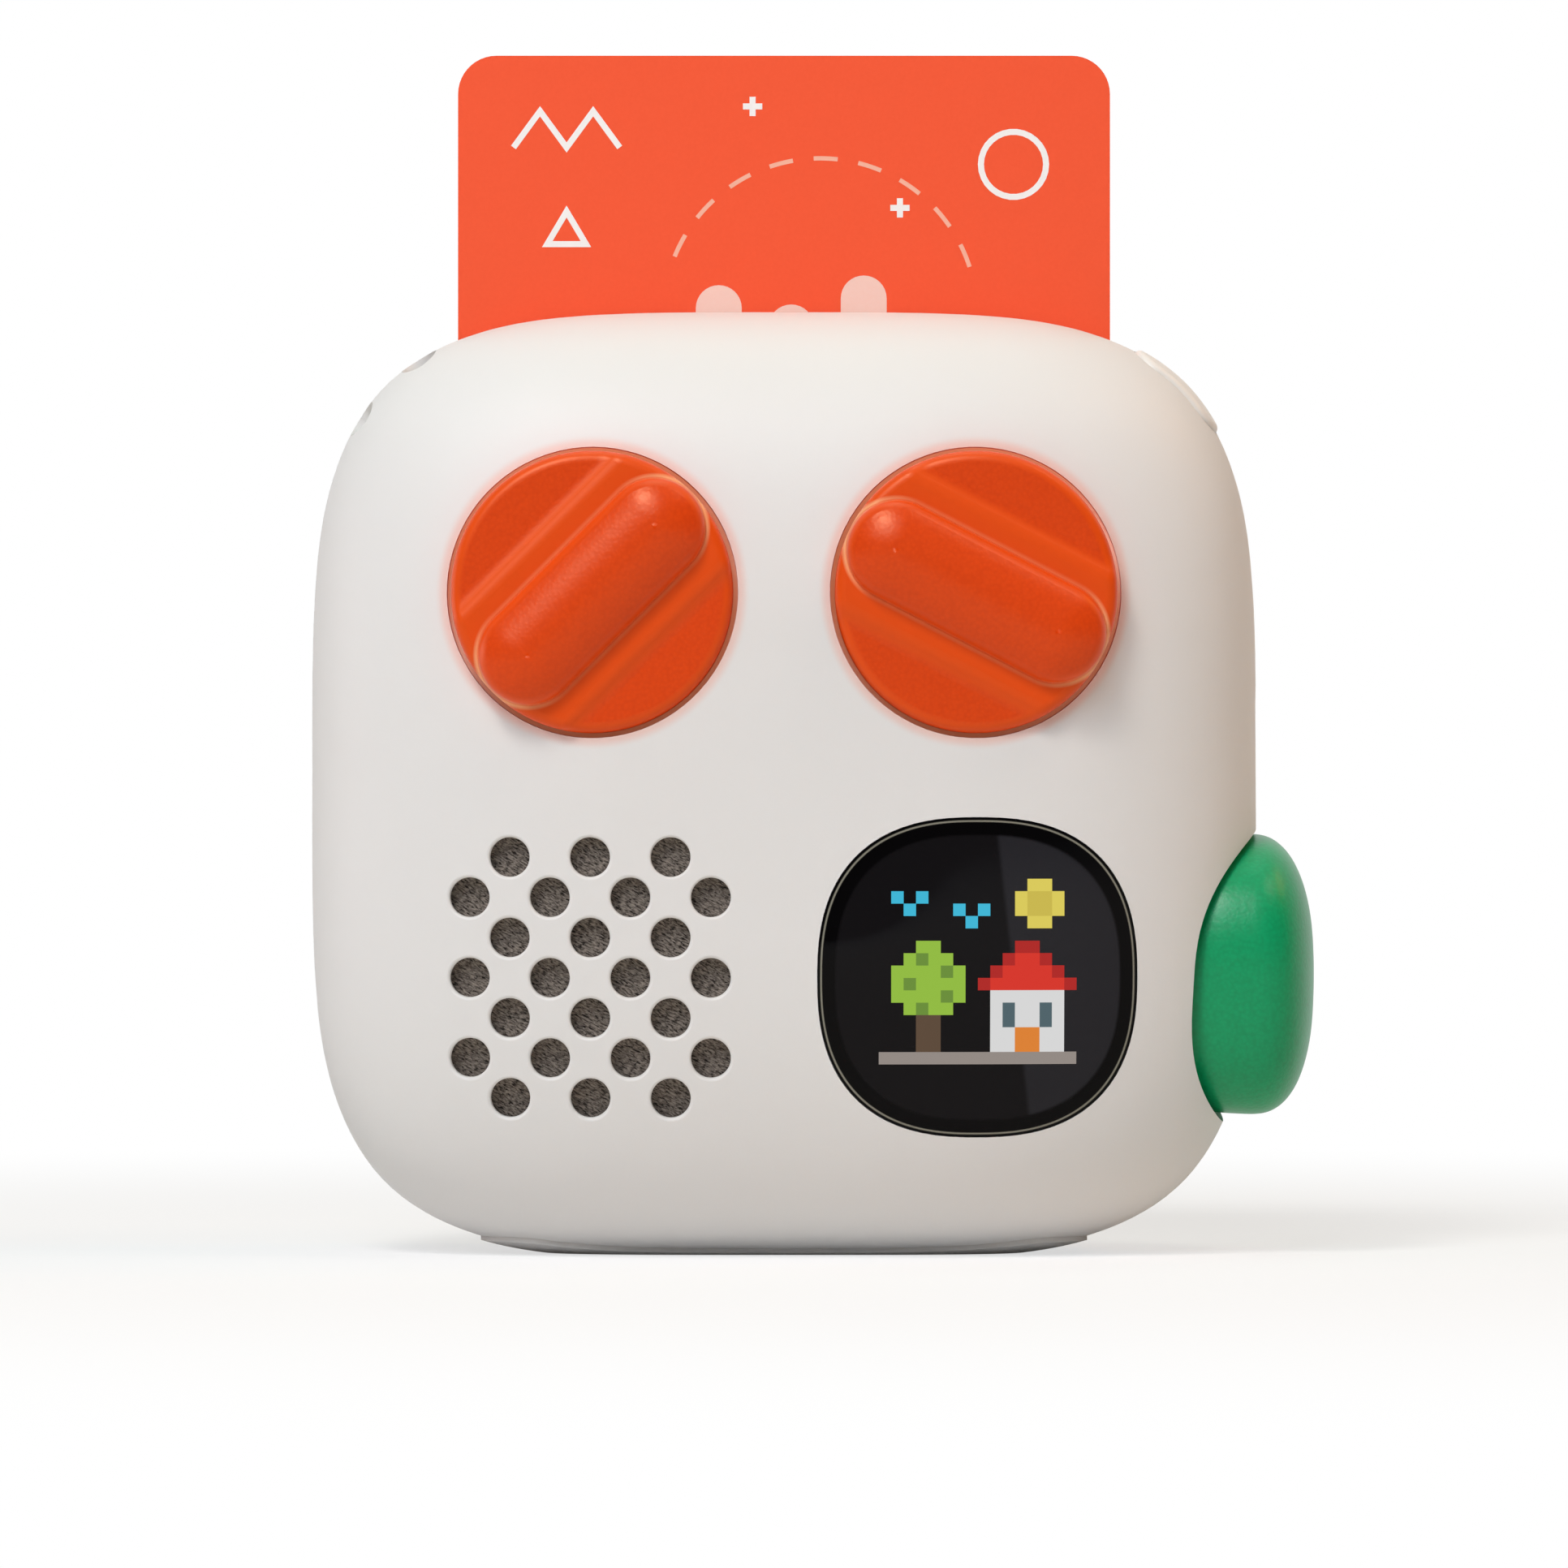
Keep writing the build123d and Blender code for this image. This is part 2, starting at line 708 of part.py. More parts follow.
speaker_frame.part.label = "speaker_frame"
export_step(speaker_frame.part, "parts/speaker_frame.step")

top_plate = basket_back + basket_wall
with BuildPart() as speaker_magnet:
    add(drum(grille_plane, magnet_radius - seat_gap, magnet_back, top_plate))
    add(drum(grille_plane, coil_slot, magnet_back + back_plate, top_plate + past), mode=Mode.SUBTRACT)
    add(drum(grille_plane, pole_radius, magnet_back + back_plate / 2, top_plate))
speaker_magnet.part.label = "speaker_magnet"
export_step(speaker_magnet.part, "parts/speaker_magnet.step")

# Surround: a flat rubber ring with one half roll between the frame and the cone.
roll_inner = cone_radius + roll_cone_gap
roll_outer = surround_outer - roll_frame_gap
roll_radius = (roll_outer - roll_inner) / 2
roll_mid = (roll_outer + roll_inner) / 2
section_plane = Plane(origin=grille_plane.origin, x_dir=(1, 0, 0), z_dir=(0, 0, 1))
surround_back = -surround_seat
with BuildPart() as speaker_surround:
    with BuildSketch(section_plane):
        with Locations((roll_mid, surround_back - surround_thick)):
            Circle(roll_radius + surround_thick)
            Circle(roll_radius, mode=Mode.SUBTRACT)
        with Locations((roll_mid, surround_back + roll_radius)):
            Rectangle(4 * roll_radius, 2 * roll_radius, mode=Mode.SUBTRACT)
        foot = surround_back - surround_thick / 2
        with Locations(((roll_outer + surround_outer - seat_gap) / 2, foot)):
            Rectangle(surround_outer - seat_gap - roll_outer, surround_thick)
        with Locations((roll_inner + surround_thick - surround_lap / 2, foot)):
            Rectangle(surround_lap, surround_thick)
    revolve(axis=Axis(grille_plane.origin, (0, 1, 0)))
speaker_surround.part.label = "speaker_surround"
export_step(speaker_surround.part, "parts/speaker_surround.step")

cone_edge = surround_back + seat_gap
cone_base = cone_edge + cone_depth
coil_outer = coil_radius + coil_wall
with BuildPart() as speaker_cone:
    with BuildSketch(section_plane):
        with BuildLine():
            Polyline(
                (cone_radius, cone_edge),
                (cone_radius, cone_edge + cone_thick),
                (coil_outer, cone_base + cone_thick),
                (coil_radius, cone_base + cone_thick),
                (coil_radius, cone_base),
                close=True,
            )
        make_face()
    revolve(axis=Axis(grille_plane.origin, (0, 1, 0)))
speaker_cone.part.label = "speaker_cone"
export_step(speaker_cone.part, "parts/speaker_cone.step")

# Dust cap: a shallow dome glued on the cone's front, over the coil.
cap_radius = coil_outer + cap_lap
cap_foot = cone_base - cone_depth * (cap_radius - coil_radius) / (cone_radius - coil_radius) - seat_gap
cap_inner = cap_radius - cap_thick
cap_front = cap_foot - cap_rise
cap_back = cap_front + cap_thick
with BuildPart() as dust_cap:
    with BuildSketch(section_plane):
        with BuildLine():
            TangentArc((0, cap_front), (cap_radius, cap_foot), tangent=(1, 0))
            Line((cap_radius, cap_foot), (cap_inner, cap_foot))
            TangentArc((0, cap_back), (cap_inner, cap_foot), tangent=(1, 0))
            Line((0, cap_back), (0, cap_front))
        make_face()
    revolve(axis=Axis(grille_plane.origin, (0, 1, 0)))
dust_cap.part.label = "dust_cap"
export_step(dust_cap.part, "parts/dust_cap.step")

with BuildPart() as voice_coil:
    coil_top = -(cone_base + cone_thick)
    add(drum(grille_plane, coil_outer, magnet_back + back_plate + coil_lift, coil_top))
    add(drum(grille_plane, coil_radius, magnet_back + back_plate, coil_top + past), mode=Mode.SUBTRACT)
voice_coil.part.label = "voice_coil"
export_step(voice_coil.part, "parts/voice_coil.step")

# ---------------------------------------------------------------- main board
board_low_edge = centre_z + board_low_rise
board_foot = centre_z - board_foot_drop
with BuildPart() as main_board:
    upper_top = centre_z + board_half - board_top_drop
    with BuildSketch(ground_plane.offset(board_back)):
        with Locations((0, (upper_top + board_low_edge) / 2)):
            Rectangle(2 * board_half, upper_top - board_low_edge)
        chamfer(vertices().group_by(Axis.Y)[-1], board_chamfer)
        with Locations(((board_half + board_inner_edge) / 2, (board_low_edge + board_foot + past) / 2)):
            Rectangle(board_half - board_inner_edge, board_low_edge + past - board_foot)
        with Locations(*boss_places):
            Circle(boss_radius + boss_clear, mode=Mode.SUBTRACT)
        with Locations(*post_places):
            Circle(board_screw_radius + screw_hole_gap, mode=Mode.SUBTRACT)
    extrude(amount=board_thick)
    add(pillow(wall + board_edge_gap), mode=Mode.INTERSECT)
main_board.part.label = "main_board"
export_step(main_board.part, "parts/main_board.step")

# Parts on the board, by place and size: a radio module, a processor, memory, an amplifier, a
# display driver and the battery's plug behind it, and the speaker's plug in front.
battery_plug = (25.6, centre_z + 3.0)
speaker_plug = (0.0, centre_z + 4.8)
rear_parts = (
    ((-10.0, centre_z + 11.7), (16.0, 11.0), module_height),
    ((7.5, centre_z + 11.9), (9.0, 9.0), chip_height),
    ((17.0, centre_z + 7.4), (6.0, 5.0), chip_height),
    ((8.0, centre_z - 16.6), (6.0, 5.0), chip_height),
    ((14.0, centre_z - 9.6), (4.0, 7.0), chip_height),
    (battery_plug, battery_plug_size, plug_height),
)
with BuildPart() as board_chips:
    for place, size, height in rear_parts:
        with BuildSketch(ground_plane.offset(board_back)):
            with Locations(place):
                Rectangle(*size)
        extrude(amount=-height)
    with BuildSketch(ground_plane.offset(board_front)):
        with Locations(speaker_plug):
            Rectangle(*speaker_plug_size)
    extrude(amount=plug_height)
board_chips.part.label = "board_chips"
export_step(board_chips.part, "parts/board_chips.step")

# ---------------------------------------------------------------- knobs and their encoders
crescent_level = front_depth + crescent_proud
band_level = front_depth + band_proud
band_run = (band_level - crescent_level) / tan(radians(band_slope)) / 2
ridge_level = front_depth + ridge_proud
ridge_side = ridge_level - ridge_crown
knob_under = pocket_floor + knob_under_gap
knob_side = knob_radius + past
shaft_tip = crescent_level - shaft_cover
shoulder = encoder_front - shoulder_drop
plunger_low = shoulder - running_gap - plunger_length
clip_top = plunger_low - running_gap


def on_rim(edge, plane):
    """Whether an edge of the knob's front lies all along its side wall."""
    for share in (0, 0.5, 1):
        spot = plane.to_local_coords(edge @ share)
        if spot.Z < crescent_level - seat_gap or abs(spot.X**2 + spot.Y**2 - knob_radius**2) > seat_gap:
            return False
    return True


def ridge_outline():
    """The ridge's section: a crowned top with round shoulders, down into the disc."""
    with BuildSketch() as outline:
        with BuildLine():
            ThreePointArc((-ridge_half_width, ridge_side), (0, ridge_level), (ridge_half_width, ridge_side))
            Polyline((ridge_half_width, ridge_side), (ridge_half_width, knob_under),
                     (-ridge_half_width, knob_under), (-ridge_half_width, ridge_side))
        make_face()
        fillet(outline.vertices().group_by(Axis.Y)[-1], ridge_shoulder)
    return outline.sketch


ridge_section = ridge_outline()
for side, angle in (("left", left_ridge_angle), ("right", right_ridge_angle)):
    plane = knob_planes[side]
    # across the ridge and forwards, seen along the ridge
    along = (cos(radians(angle)), 0, sin(radians(angle)))
    across_plane = Plane(origin=plane.origin, x_dir=(-along[2], 0, along[0]), z_dir=along)

    with BuildPart() as encoder:
        with BuildSketch(plane.offset(board_front)):
            RectangleRounded(encoder_size, encoder_size, encoder_corner)
        extrude(amount=encoder_height)
        add(drum(plane, plunger_radius + running_gap, board_front + encoder_floor, encoder_front + past),
            mode=Mode.SUBTRACT)
    encoder.part.label = f"{side}_encoder"
    export_step(encoder.part, f"parts/{side}_encoder.step")

    with BuildPart() as plunger:
        with BuildSketch(plane.offset(plunger_low)):
            Circle(plunger_radius)
            Circle(journal_radius + running_gap, mode=Mode.SUBTRACT)
        extrude(amount=plunger_length)
    plunger.part.label = f"{side}_encoder_plunger"
    export_step(plunger.part, f"parts/{side}_encoder_plunger.step")

    with BuildPart() as shaft:
        with BuildSketch(plane.offset(clip_top - clip_thick)):
            Circle(journal_radius)
        extrude(amount=shoulder - clip_top + clip_thick)
        with BuildSketch(plane.offset(shoulder)):
            Circle(shaft_radius)
            with Locations((0, shaft_radius)):
                Rectangle(2 * shaft_radius, 2 * shaft_flat, mode=Mode.SUBTRACT)
        extrude(amount=shaft_tip - shoulder)
    shaft.part.label = f"{side}_encoder_shaft"
    export_step(shaft.part, f"parts/{side}_encoder_shaft.step")

    with BuildPart() as clip:
        with BuildSketch(plane.offset(clip_top - clip_thick)):
            Circle(clip_radius)
            Circle(journal_radius + seat_gap / 2, mode=Mode.SUBTRACT)
            with Locations((0, -clip_radius)):
                Rectangle(clip_mouth, 2 * clip_radius, mode=Mode.SUBTRACT)
        extrude(amount=clip_thick)
    clip.part.label = f"{side}_encoder_clip"
    export_step(clip.part, f"parts/{side}_encoder_clip.step")

    with BuildPart() as knob:
        # a disc with a raised band straight across it and a rounded rim
        with BuildSketch(plane.offset(knob_under)):
            Circle(knob_radius)
        extrude(amount=band_level + past - knob_under)
        with BuildSketch(across_plane):
            with BuildLine():
                FilletPolyline(
                    (-knob_side, knob_under - past),
                    (-knob_side, crescent_level),
                    (-band_half_width - band_run, crescent_level),
                    (-band_half_width + band_run, band_level),
                    (band_half_width - band_run, band_level),
                    (band_half_width + band_run, crescent_level),
                    (knob_side, crescent_level),
                    (knob_side, knob_under - past),
                    radius=band_round,
                    close=True,
                )
            make_face()
        extrude(amount=knob_side, both=True, mode=Mode.INTERSECT)
        fillet(knob.edges().filter_by(lambda edge: on_rim(edge, plane)), rim_fillet)
        # the grip ridge with its round ends
        with BuildSketch(across_plane):
            add(ridge_section)
        extrude(amount=ridge_half_length, both=True)
        for end in (-1, 1):
            end_plane = across_plane.offset(end * ridge_half_length)
            with BuildSketch(end_plane):
                add(ridge_section)
                split(bisect_by=Plane.YZ)
            revolve(axis=Axis(end_plane.origin, (0, -1, 0)), revolution_arc=-180 * end)
        # the hub, and the bore for the shaft
        with BuildSketch(plane.offset(pocket_back + hub_back)):
            Circle(hub_radius)
        extrude(amount=knob_under - pocket_back)
        with BuildSketch(plane.offset(pocket_back)):
            Circle(shaft_radius + seat_gap)
            with Locations((0, shaft_radius + seat_gap)):
                Rectangle(2 * shaft_radius, 2 * shaft_flat, mode=Mode.SUBTRACT)
        extrude(amount=shaft_tip + running_gap - pocket_back, mode=Mode.SUBTRACT)
    knob.part.label = f"{side}_knob"
    export_step(knob.part, f"parts/{side}_knob.step")

# ---------------------------------------------------------------- side button
dome_foot = body_half - side_dome_sink
skirt_start = collar_start + skirt_gap
belly_half = side_half * (1 - side_taper)
button_stations = []
for step in range(belly_steps):
    rest = 1 - step / belly_steps
    button_stations.append((dome_foot - side_belly * rest, side_half * (1 - side_taper * rest**2), side_power))
for across, along in reversed(profile(side_dome_power)[1:]):
    button_stations.append((dome_foot + side_dome_height * along, side_half * across, side_power))
tab_outer = collar_start - tab_gap
switch_pin_tip = board_half + switch_pin_reach

with BuildPart() as side_button:
    add(soft_prism(side_plane, belly_half, side_power, skirt_start, dome_foot - side_belly))
    add(soft_loft(side_plane, button_stations))
    hollow = side_half - side_skirt
    add(soft_prism(side_plane, hollow, side_power, collar_start, dome_foot + past), mode=Mode.SUBTRACT)
    # centre post that presses the switch
    post_plane = Plane(origin=(0, switch_y, low_z), x_dir=(0, 1, 0), z_dir=(1, 0, 0))
    add(drum(post_plane, switch_pin_radius + side_post_wall, switch_pin_tip, dome_foot + 2 * past))
    # two tabs that hook behind the collar
    for end in (-1, 1):
        leg_low = side_half - side_skirt
        foot_high = side_half + tab_reach
        with BuildSketch(side_plane.offset(tab_outer - tab_thick)):
            with Locations((0, end * (leg_low + foot_high) / 2)):
                Rectangle(tab_width, foot_high - leg_low)
        extrude(amount=tab_thick)
        with BuildSketch(side_plane.offset(tab_outer - tab_thick)):
            with Locations((0, end * (leg_low + side_half - tab_inset) / 2)):
                Rectangle(tab_width, side_half - tab_inset - leg_low)
        extrude(amount=tab_thick + collar_depth / 2)
side_button.part.label = "side_button"
export_step(side_button.part, "parts/side_button.step")

switch_reach = board_half - switch_edge
with BuildPart() as side_switch:
    switch_low = (switch_reach - switch_size[0], -board_back, low_z - switch_size[2] / 2)
    switch_high = (switch_reach, -board_back + switch_size[1], low_z + switch_size[2] / 2)
    add(block(switch_low, switch_high))
    add(drum(post_plane, switch_pin_radius + running_gap, switch_reach - switch_bore, board_half),
        mode=Mode.SUBTRACT)
side_switch.part.label = "side_switch"
export_step(side_switch.part, "parts/side_switch.step")

with BuildPart() as side_switch_plunger:
    add(drum(post_plane, switch_pin_radius, switch_reach - switch_pin_sink, switch_pin_tip - seat_gap))
side_switch_plunger.part.label = "side_switch_plunger"
export_step(side_switch_plunger.part, "parts/side_switch_plunger.step")

# ---------------------------------------------------------------- corner button
flange_top = corner_reach - wall - corner_flange_drop
flange_length = corner_length + 2 * corner_flange_end
flange_width = corner_width + 2 * corner_flange_rim
with BuildPart() as corner_button:
    add(pill(corner_plane, corner_length, corner_width, flange_top, corner_reach + corner_form))
    add(pillow(-corner_proud), mode=Mode.INTERSECT)
    top = corner_button.faces().sort_by(Axis((0, 0, 0), corner_plane.z_dir))[-1]
    fillet(top.edges(), corner_round)
    add(pill(corner_plane, flange_length, flange_width, flange_top - corner_flange, flange_top))
corner_button.part.label = "corner_button"
export_step(corner_button.part, "parts/corner_button.step")

corner_switch_top = flange_top - corner_flange - corner_pin_length
corner_switch_y = -board_back + corner_switch_size[1] / 2
corner_switch_plane = Plane(origin=(0, corner_switch_y, centre_z), x_dir=(1, 0, -1), z_dir=(1, 0, 1))
with BuildPart() as corner_switch:
    with BuildSketch(corner_switch_plane.offset(corner_switch_top - corner_switch_size[2])):
        Rectangle(corner_switch_size[0], corner_switch_size[1])
    extrude(amount=corner_switch_size[2])
    add(drum(corner_switch_plane, corner_pin_radius + running_gap, corner_switch_top - corner_pin_bore,
             corner_switch_top + past), mode=Mode.SUBTRACT)
corner_switch.part.label = "corner_switch"
export_step(corner_switch.part, "parts/corner_switch.step")

with BuildPart() as corner_switch_plunger:
    add(drum(corner_switch_plane, corner_pin_radius, corner_switch_top - corner_pin_sink,
             flange_top - corner_flange - seat_gap))
corner_switch_plunger.part.label = "corner_switch_plunger"
export_step(corner_switch_plunger.part, "parts/corner_switch_plunger.step")

# ---------------------------------------------------------------- card, guide and reader coil
with BuildPart() as story_card:
    with BuildSketch(ground_plane.offset(-card_y - card_thick / 2)):
        with Locations((0, card_bottom + card_height / 2)):
            RectangleRounded(card_width, card_height, card_corner)
    extrude(amount=card_thick)
story_card.part.label = "story_card"
export_step(story_card.part, "parts/story_card.step")

guide_x = card_width / 2 + card_side_gap + guide_side_wall
guide_floor = card_bottom - card_foot_gap
with BuildPart() as card_guide:
    guide_low = (-guide_x, guide_front_y, guide_floor - guide_floor_thick)
    add(block(guide_low, (guide_x, guide_back_y, centre_z + body_half)))
    add(inside_form, mode=Mode.INTERSECT)
    gap_y = card_thick / 2 + card_face_gap
    add(block((-slot_x, card_y - gap_y, guide_floor), (slot_x, card_y + gap_y, centre_z + body_half)),
        mode=Mode.SUBTRACT)
card_guide.part.label = "card_guide"
export_step(card_guide.part, "parts/card_guide.step")

with BuildPart() as reader_coil:
    hollow_width = antenna_width - 2 * antenna_track
    hollow_height = antenna_height - 2 * antenna_track
    with BuildSketch(ground_plane.offset(-guide_front_y + seat_gap / 2)):
        with Locations((0, centre_z)):
            RectangleRounded(antenna_width, antenna_height, antenna_corner)
            RectangleRounded(hollow_width, hollow_height, antenna_inner_corner, mode=Mode.SUBTRACT)
    extrude(amount=antenna_thick)
reader_coil.part.label = "reader_coil"
export_step(reader_coil.part, "parts/reader_coil.step")

# ---------------------------------------------------------------- battery
battery_y = guide_back_y + battery_gap
battery_z = centre_z + battery_rise
with BuildPart() as battery_pack:
    with BuildSketch(at(battery_x, battery_z).offset(-battery_y)):
        RectangleRounded(battery_width, battery_height, battery_round)
    extrude(amount=-battery_thick)
    fillet(battery_pack.edges().filter_by(Axis.Y, reverse=True), battery_round / 2)
battery_pack.part.label = "battery_pack"
export_step(battery_pack.part, "parts/battery_pack.step")

with BuildPart() as battery_foam:
    with BuildSketch(at(battery_x, battery_z - foam_drop).offset(-battery_y - battery_thick - seat_gap)):
        Rectangle(foam_size, foam_size)
    extrude(amount=-rear_depth)
    add(inside_form, mode=Mode.INTERSECT)
battery_foam.part.label = "battery_foam"
export_step(battery_foam.part, "parts/battery_foam.step")

# ---------------------------------------------------------------- ports
with BuildPart() as port_board:
    with BuildSketch(ground_plane.offset(-port_board_back)):
        with Locations((port_board_x, port_board_z)):
            Rectangle(port_board_width, port_board_height)
        with Locations(*boss_places):
            Circle(boss_radius + boss_clear, mode=Mode.SUBTRACT)
        with Locations(*port_post_places):
            Circle(board_screw_radius + screw_hole_gap, mode=Mode.SUBTRACT)
    extrude(amount=port_board_thick)
port_board.part.label = "port_board"
export_step(port_board.part, "parts/port_board.step")

jack_tip = body_half - jack_sink
jack_body_start = port_board_x - port_board_width / 2 + jack_body_edge
with BuildPart() as headphone_socket:
    jack_low = (jack_body_start, port_board_back, jack_z - jack_body[2] / 2)
    jack_high = (jack_body_start + jack_body[0], port_board_back + jack_body[1], jack_z + jack_body[2] / 2)
    add(block(jack_low, jack_high))
    add(drum(jack_plane, jack_radius + jack_wall, -jack_body_start - past, jack_tip))
    add(drum(jack_plane, jack_radius, jack_tip - jack_depth, jack_tip + past), mode=Mode.SUBTRACT)
headphone_socket.part.label = "headphone_socket"
export_step(headphone_socket.part, "parts/headphone_socket.step")

usb_tip = body_half - usb_sink
usb_start = usb_tip - usb_depth
with BuildPart() as usb_socket:
    add(pill(usb_plane, usb_wide, usb_high, usb_start, usb_tip))
    add(pill(usb_plane, usb_wide - 2 * usb_wall, usb_high - 2 * usb_wall, usb_start + usb_back,
             usb_tip + past), mode=Mode.SUBTRACT)
    with BuildSketch(usb_plane.offset(usb_start)):
        Rectangle(*usb_tongue)
    extrude(amount=usb_depth - usb_tongue_sink)
usb_socket.part.label = "usb_socket"
export_step(usb_socket.part, "parts/usb_socket.step")

# Flat ribbon from the port board, round the guide's edge, to the main board.
ribbon_x = -guide_x - ribbon_clear
with BuildPart() as port_ribbon:
    with BuildSketch(Plane.XY.offset(port_board_z - ribbon_width / 2)):
        with BuildLine():
            FilletPolyline(
                (port_board_x - ribbon_port_end, port_board_y - ribbon_thick / 2),
                (ribbon_x, port_board_y - ribbon_thick / 2),
                (ribbon_x, -board_back + ribbon_thick / 2),
                (-board_half + ribbon_board_end, -board_back + ribbon_thick / 2),
                radius=ribbon_bend,
            )
            offset(amount=ribbon_thick / 2, kind=Kind.ARC, mode=Mode.REPLACE)
        make_face()
    extrude(amount=ribbon_width)
port_ribbon.part.label = "port_ribbon"
export_step(port_ribbon.part, "parts/port_ribbon.step")

# ---------------------------------------------------------------- screws
with BuildPart() as case_screws:
    for start, end, radius in (
        (screw_seat_at, screw_seat_at + screw_length, screw_radius),
        (screw_seat_at, screw_seat_at - screw_head_height, screw_head_radius),
    ):
        with BuildSketch(ground_plane.offset(start)):
            with Locations(*boss_places):
                Circle(radius)
        extrude(amount=end - start)
    with BuildSketch(ground_plane.offset(screw_seat_at - screw_head_height)):
        with Locations(*boss_places):
            Rectangle(cross_length, cross_width)
            Rectangle(cross_width, cross_length)
    extrude(amount=screw_head_height / 2, mode=Mode.SUBTRACT)
case_screws.part.label = "case_screws"
export_step(case_screws.part, "parts/case_screws.step")

with BuildPart() as board_screws:
    for x, z in post_places:
        add(drum(at(x, z), board_screw_radius, board_back, board_back + board_screw_length))
        add(drum(at(x, z), board_screw_head, board_back - board_screw_head_height, board_back))
    for x, z in port_post_places:
        front = -port_board_y
        add(drum(at(x, z), board_screw_radius, front - board_screw_length, front))
        add(drum(at(x, z), board_screw_head, front, front + port_screw_head_height))
board_screws.part.label = "board_screws"
export_step(board_screws.part, "parts/board_screws.step")


# ---------------------------------------------------------------- leads
def lead(route):
    """A round lead along straight runs joined by tangent arcs as large as the runs allow."""
    radii = []
    for before, here, after in zip(route, route[1:], route[2:]):
        first = Vector(*here) - Vector(*before)
        second = Vector(*after) - Vector(*here)
        half_turn = radians(first.get_angle(second) / 2)
        radii.append(lead_bend * min(first.length, second.length) / tan(half_turn))
    print("lead radii", [round(radius, 2) for radius in radii])
    with BuildPart() as tube:
        with BuildLine() as path:
            FilletPolyline(*route, radius=radii)
        start = path.line @ 0
        with BuildSketch(Plane(origin=start, z_dir=path.line % 0)):
            Circle(lead_radius)
        sweep(path=path.line)
    run = path.wires()[0].length
    print("lead volume", round(tube.part.volume, 3), "of", round(pi * lead_radius**2 * run, 3))
    return tube.part


battery_route = [
    (battery_x + battery_width / 2 + seat_gap, battery_y + battery_thick / 2, battery_plug[1]),
    (guide_x + battery_lead_out, battery_y + battery_thick / 2, battery_plug[1]),
    (guide_x + battery_lead_out, -board_back + plug_height / 2, battery_plug[1]),
    (battery_plug[0] + battery_plug_size[0] / 2, -board_back + plug_height / 2, battery_plug[1]),
]
battery_lead = lead(battery_route)
battery_lead.label = "battery_lead"
export_step(battery_lead, "parts/battery_lead.step")

speaker_route = [
    (-quarter_offset + 8.8, -(speaker_front - 3.2), low_z + 8.8),
    (-2.6, -(speaker_front - 3.2), low_z + 12.2),
    (speaker_plug[0], -board_front - plug_height / 2, low_z + 15.0),
    (speaker_plug[0], -board_front - plug_height / 2, speaker_plug[1] - speaker_plug_size[1] / 2),
]
speaker_lead = lead(speaker_route)
speaker_lead.label = "speaker_lead"
export_step(speaker_lead, "parts/speaker_lead.step")
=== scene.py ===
from math import cos, hypot, pi, radians, sin

import bpy
import numpy as np
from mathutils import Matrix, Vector


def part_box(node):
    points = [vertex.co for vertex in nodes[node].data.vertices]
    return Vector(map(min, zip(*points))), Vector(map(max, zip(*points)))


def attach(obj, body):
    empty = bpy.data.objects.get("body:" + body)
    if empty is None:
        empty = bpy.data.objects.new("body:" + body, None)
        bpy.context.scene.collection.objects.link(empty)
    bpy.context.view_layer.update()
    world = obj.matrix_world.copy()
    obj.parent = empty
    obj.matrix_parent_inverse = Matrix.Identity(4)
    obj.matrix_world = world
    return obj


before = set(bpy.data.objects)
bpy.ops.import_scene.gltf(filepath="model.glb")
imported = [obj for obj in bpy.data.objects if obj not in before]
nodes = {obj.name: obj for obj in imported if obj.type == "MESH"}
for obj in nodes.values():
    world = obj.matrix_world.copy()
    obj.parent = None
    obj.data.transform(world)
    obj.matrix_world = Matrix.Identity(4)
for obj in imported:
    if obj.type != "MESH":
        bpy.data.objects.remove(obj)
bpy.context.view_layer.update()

# ------------------------------------------------------------------ camera
# A long lens, level with the middle of the body and square to its front.
mm = 0.001
body_middle = 38.6 * mm                  # height of the body's middle
camera_distance = 800 * mm               # to the plane where the body is widest
frame_width = 129.4 * mm                 # what the picture's width spans on that plane

camera_data = bpy.data.cameras.new("camera")
camera_data.sensor_width = 36
camera_data.lens = camera_data.sensor_width * camera_distance / frame_width
camera = bpy.data.objects.new("camera", camera_data)
camera.location = (0, -camera_distance, body_middle)
camera.rotation_euler = (pi / 2, 0, 0)
bpy.context.scene.collection.objects.link(camera)
bpy.context.scene.camera = camera
bpy.context.scene.view_settings.view_transform = "Standard"


# ------------------------------------------------------------------ studio
# A white table under soft boxes: a large cool one and a small hard one high on the left, an
# amber one on the right and weaker ones at the left and overhead, for the rounded edges.
def linear(code):
    """An sRGB hex colour as linear RGBA."""
    values = []
    for place in (1, 3, 5):
        share = int(code[place:place + 2], 16) / 255
        values.append(share / 12.92 if share <= 0.04045 else ((share + 0.055) / 1.055) ** 2.4)
    return (*values, 1.0)


def add_node(tree, kind, inputs=None, **settings):
    """A shader node with its settings, its input values and its links."""
    made = tree.nodes.new(kind)
    for name, value in settings.items():
        setattr(made, name, value)
    for socket, value in (inputs or {}).items():
        if isinstance(value, bpy.types.NodeSocket):
            tree.links.new(value, made.inputs[socket])
        else:
            made.inputs[socket].default_value = value
    return made


def empty_material(name):
    """A material with no nodes yet, and its node tree."""
    material = bpy.data.materials.new(name)
    material.use_nodes = True
    material.node_tree.nodes.clear()
    return material, material.node_tree


def mesh_piece(name, points, faces):
    """A new flat-shaded object in the scene from points in metres and faces."""
    mesh = bpy.data.meshes.new(name)
    mesh.from_pydata(points, [], faces)
    mesh.validate()
    piece = bpy.data.objects.new(name, mesh)
    bpy.context.scene.collection.objects.link(piece)
    return piece


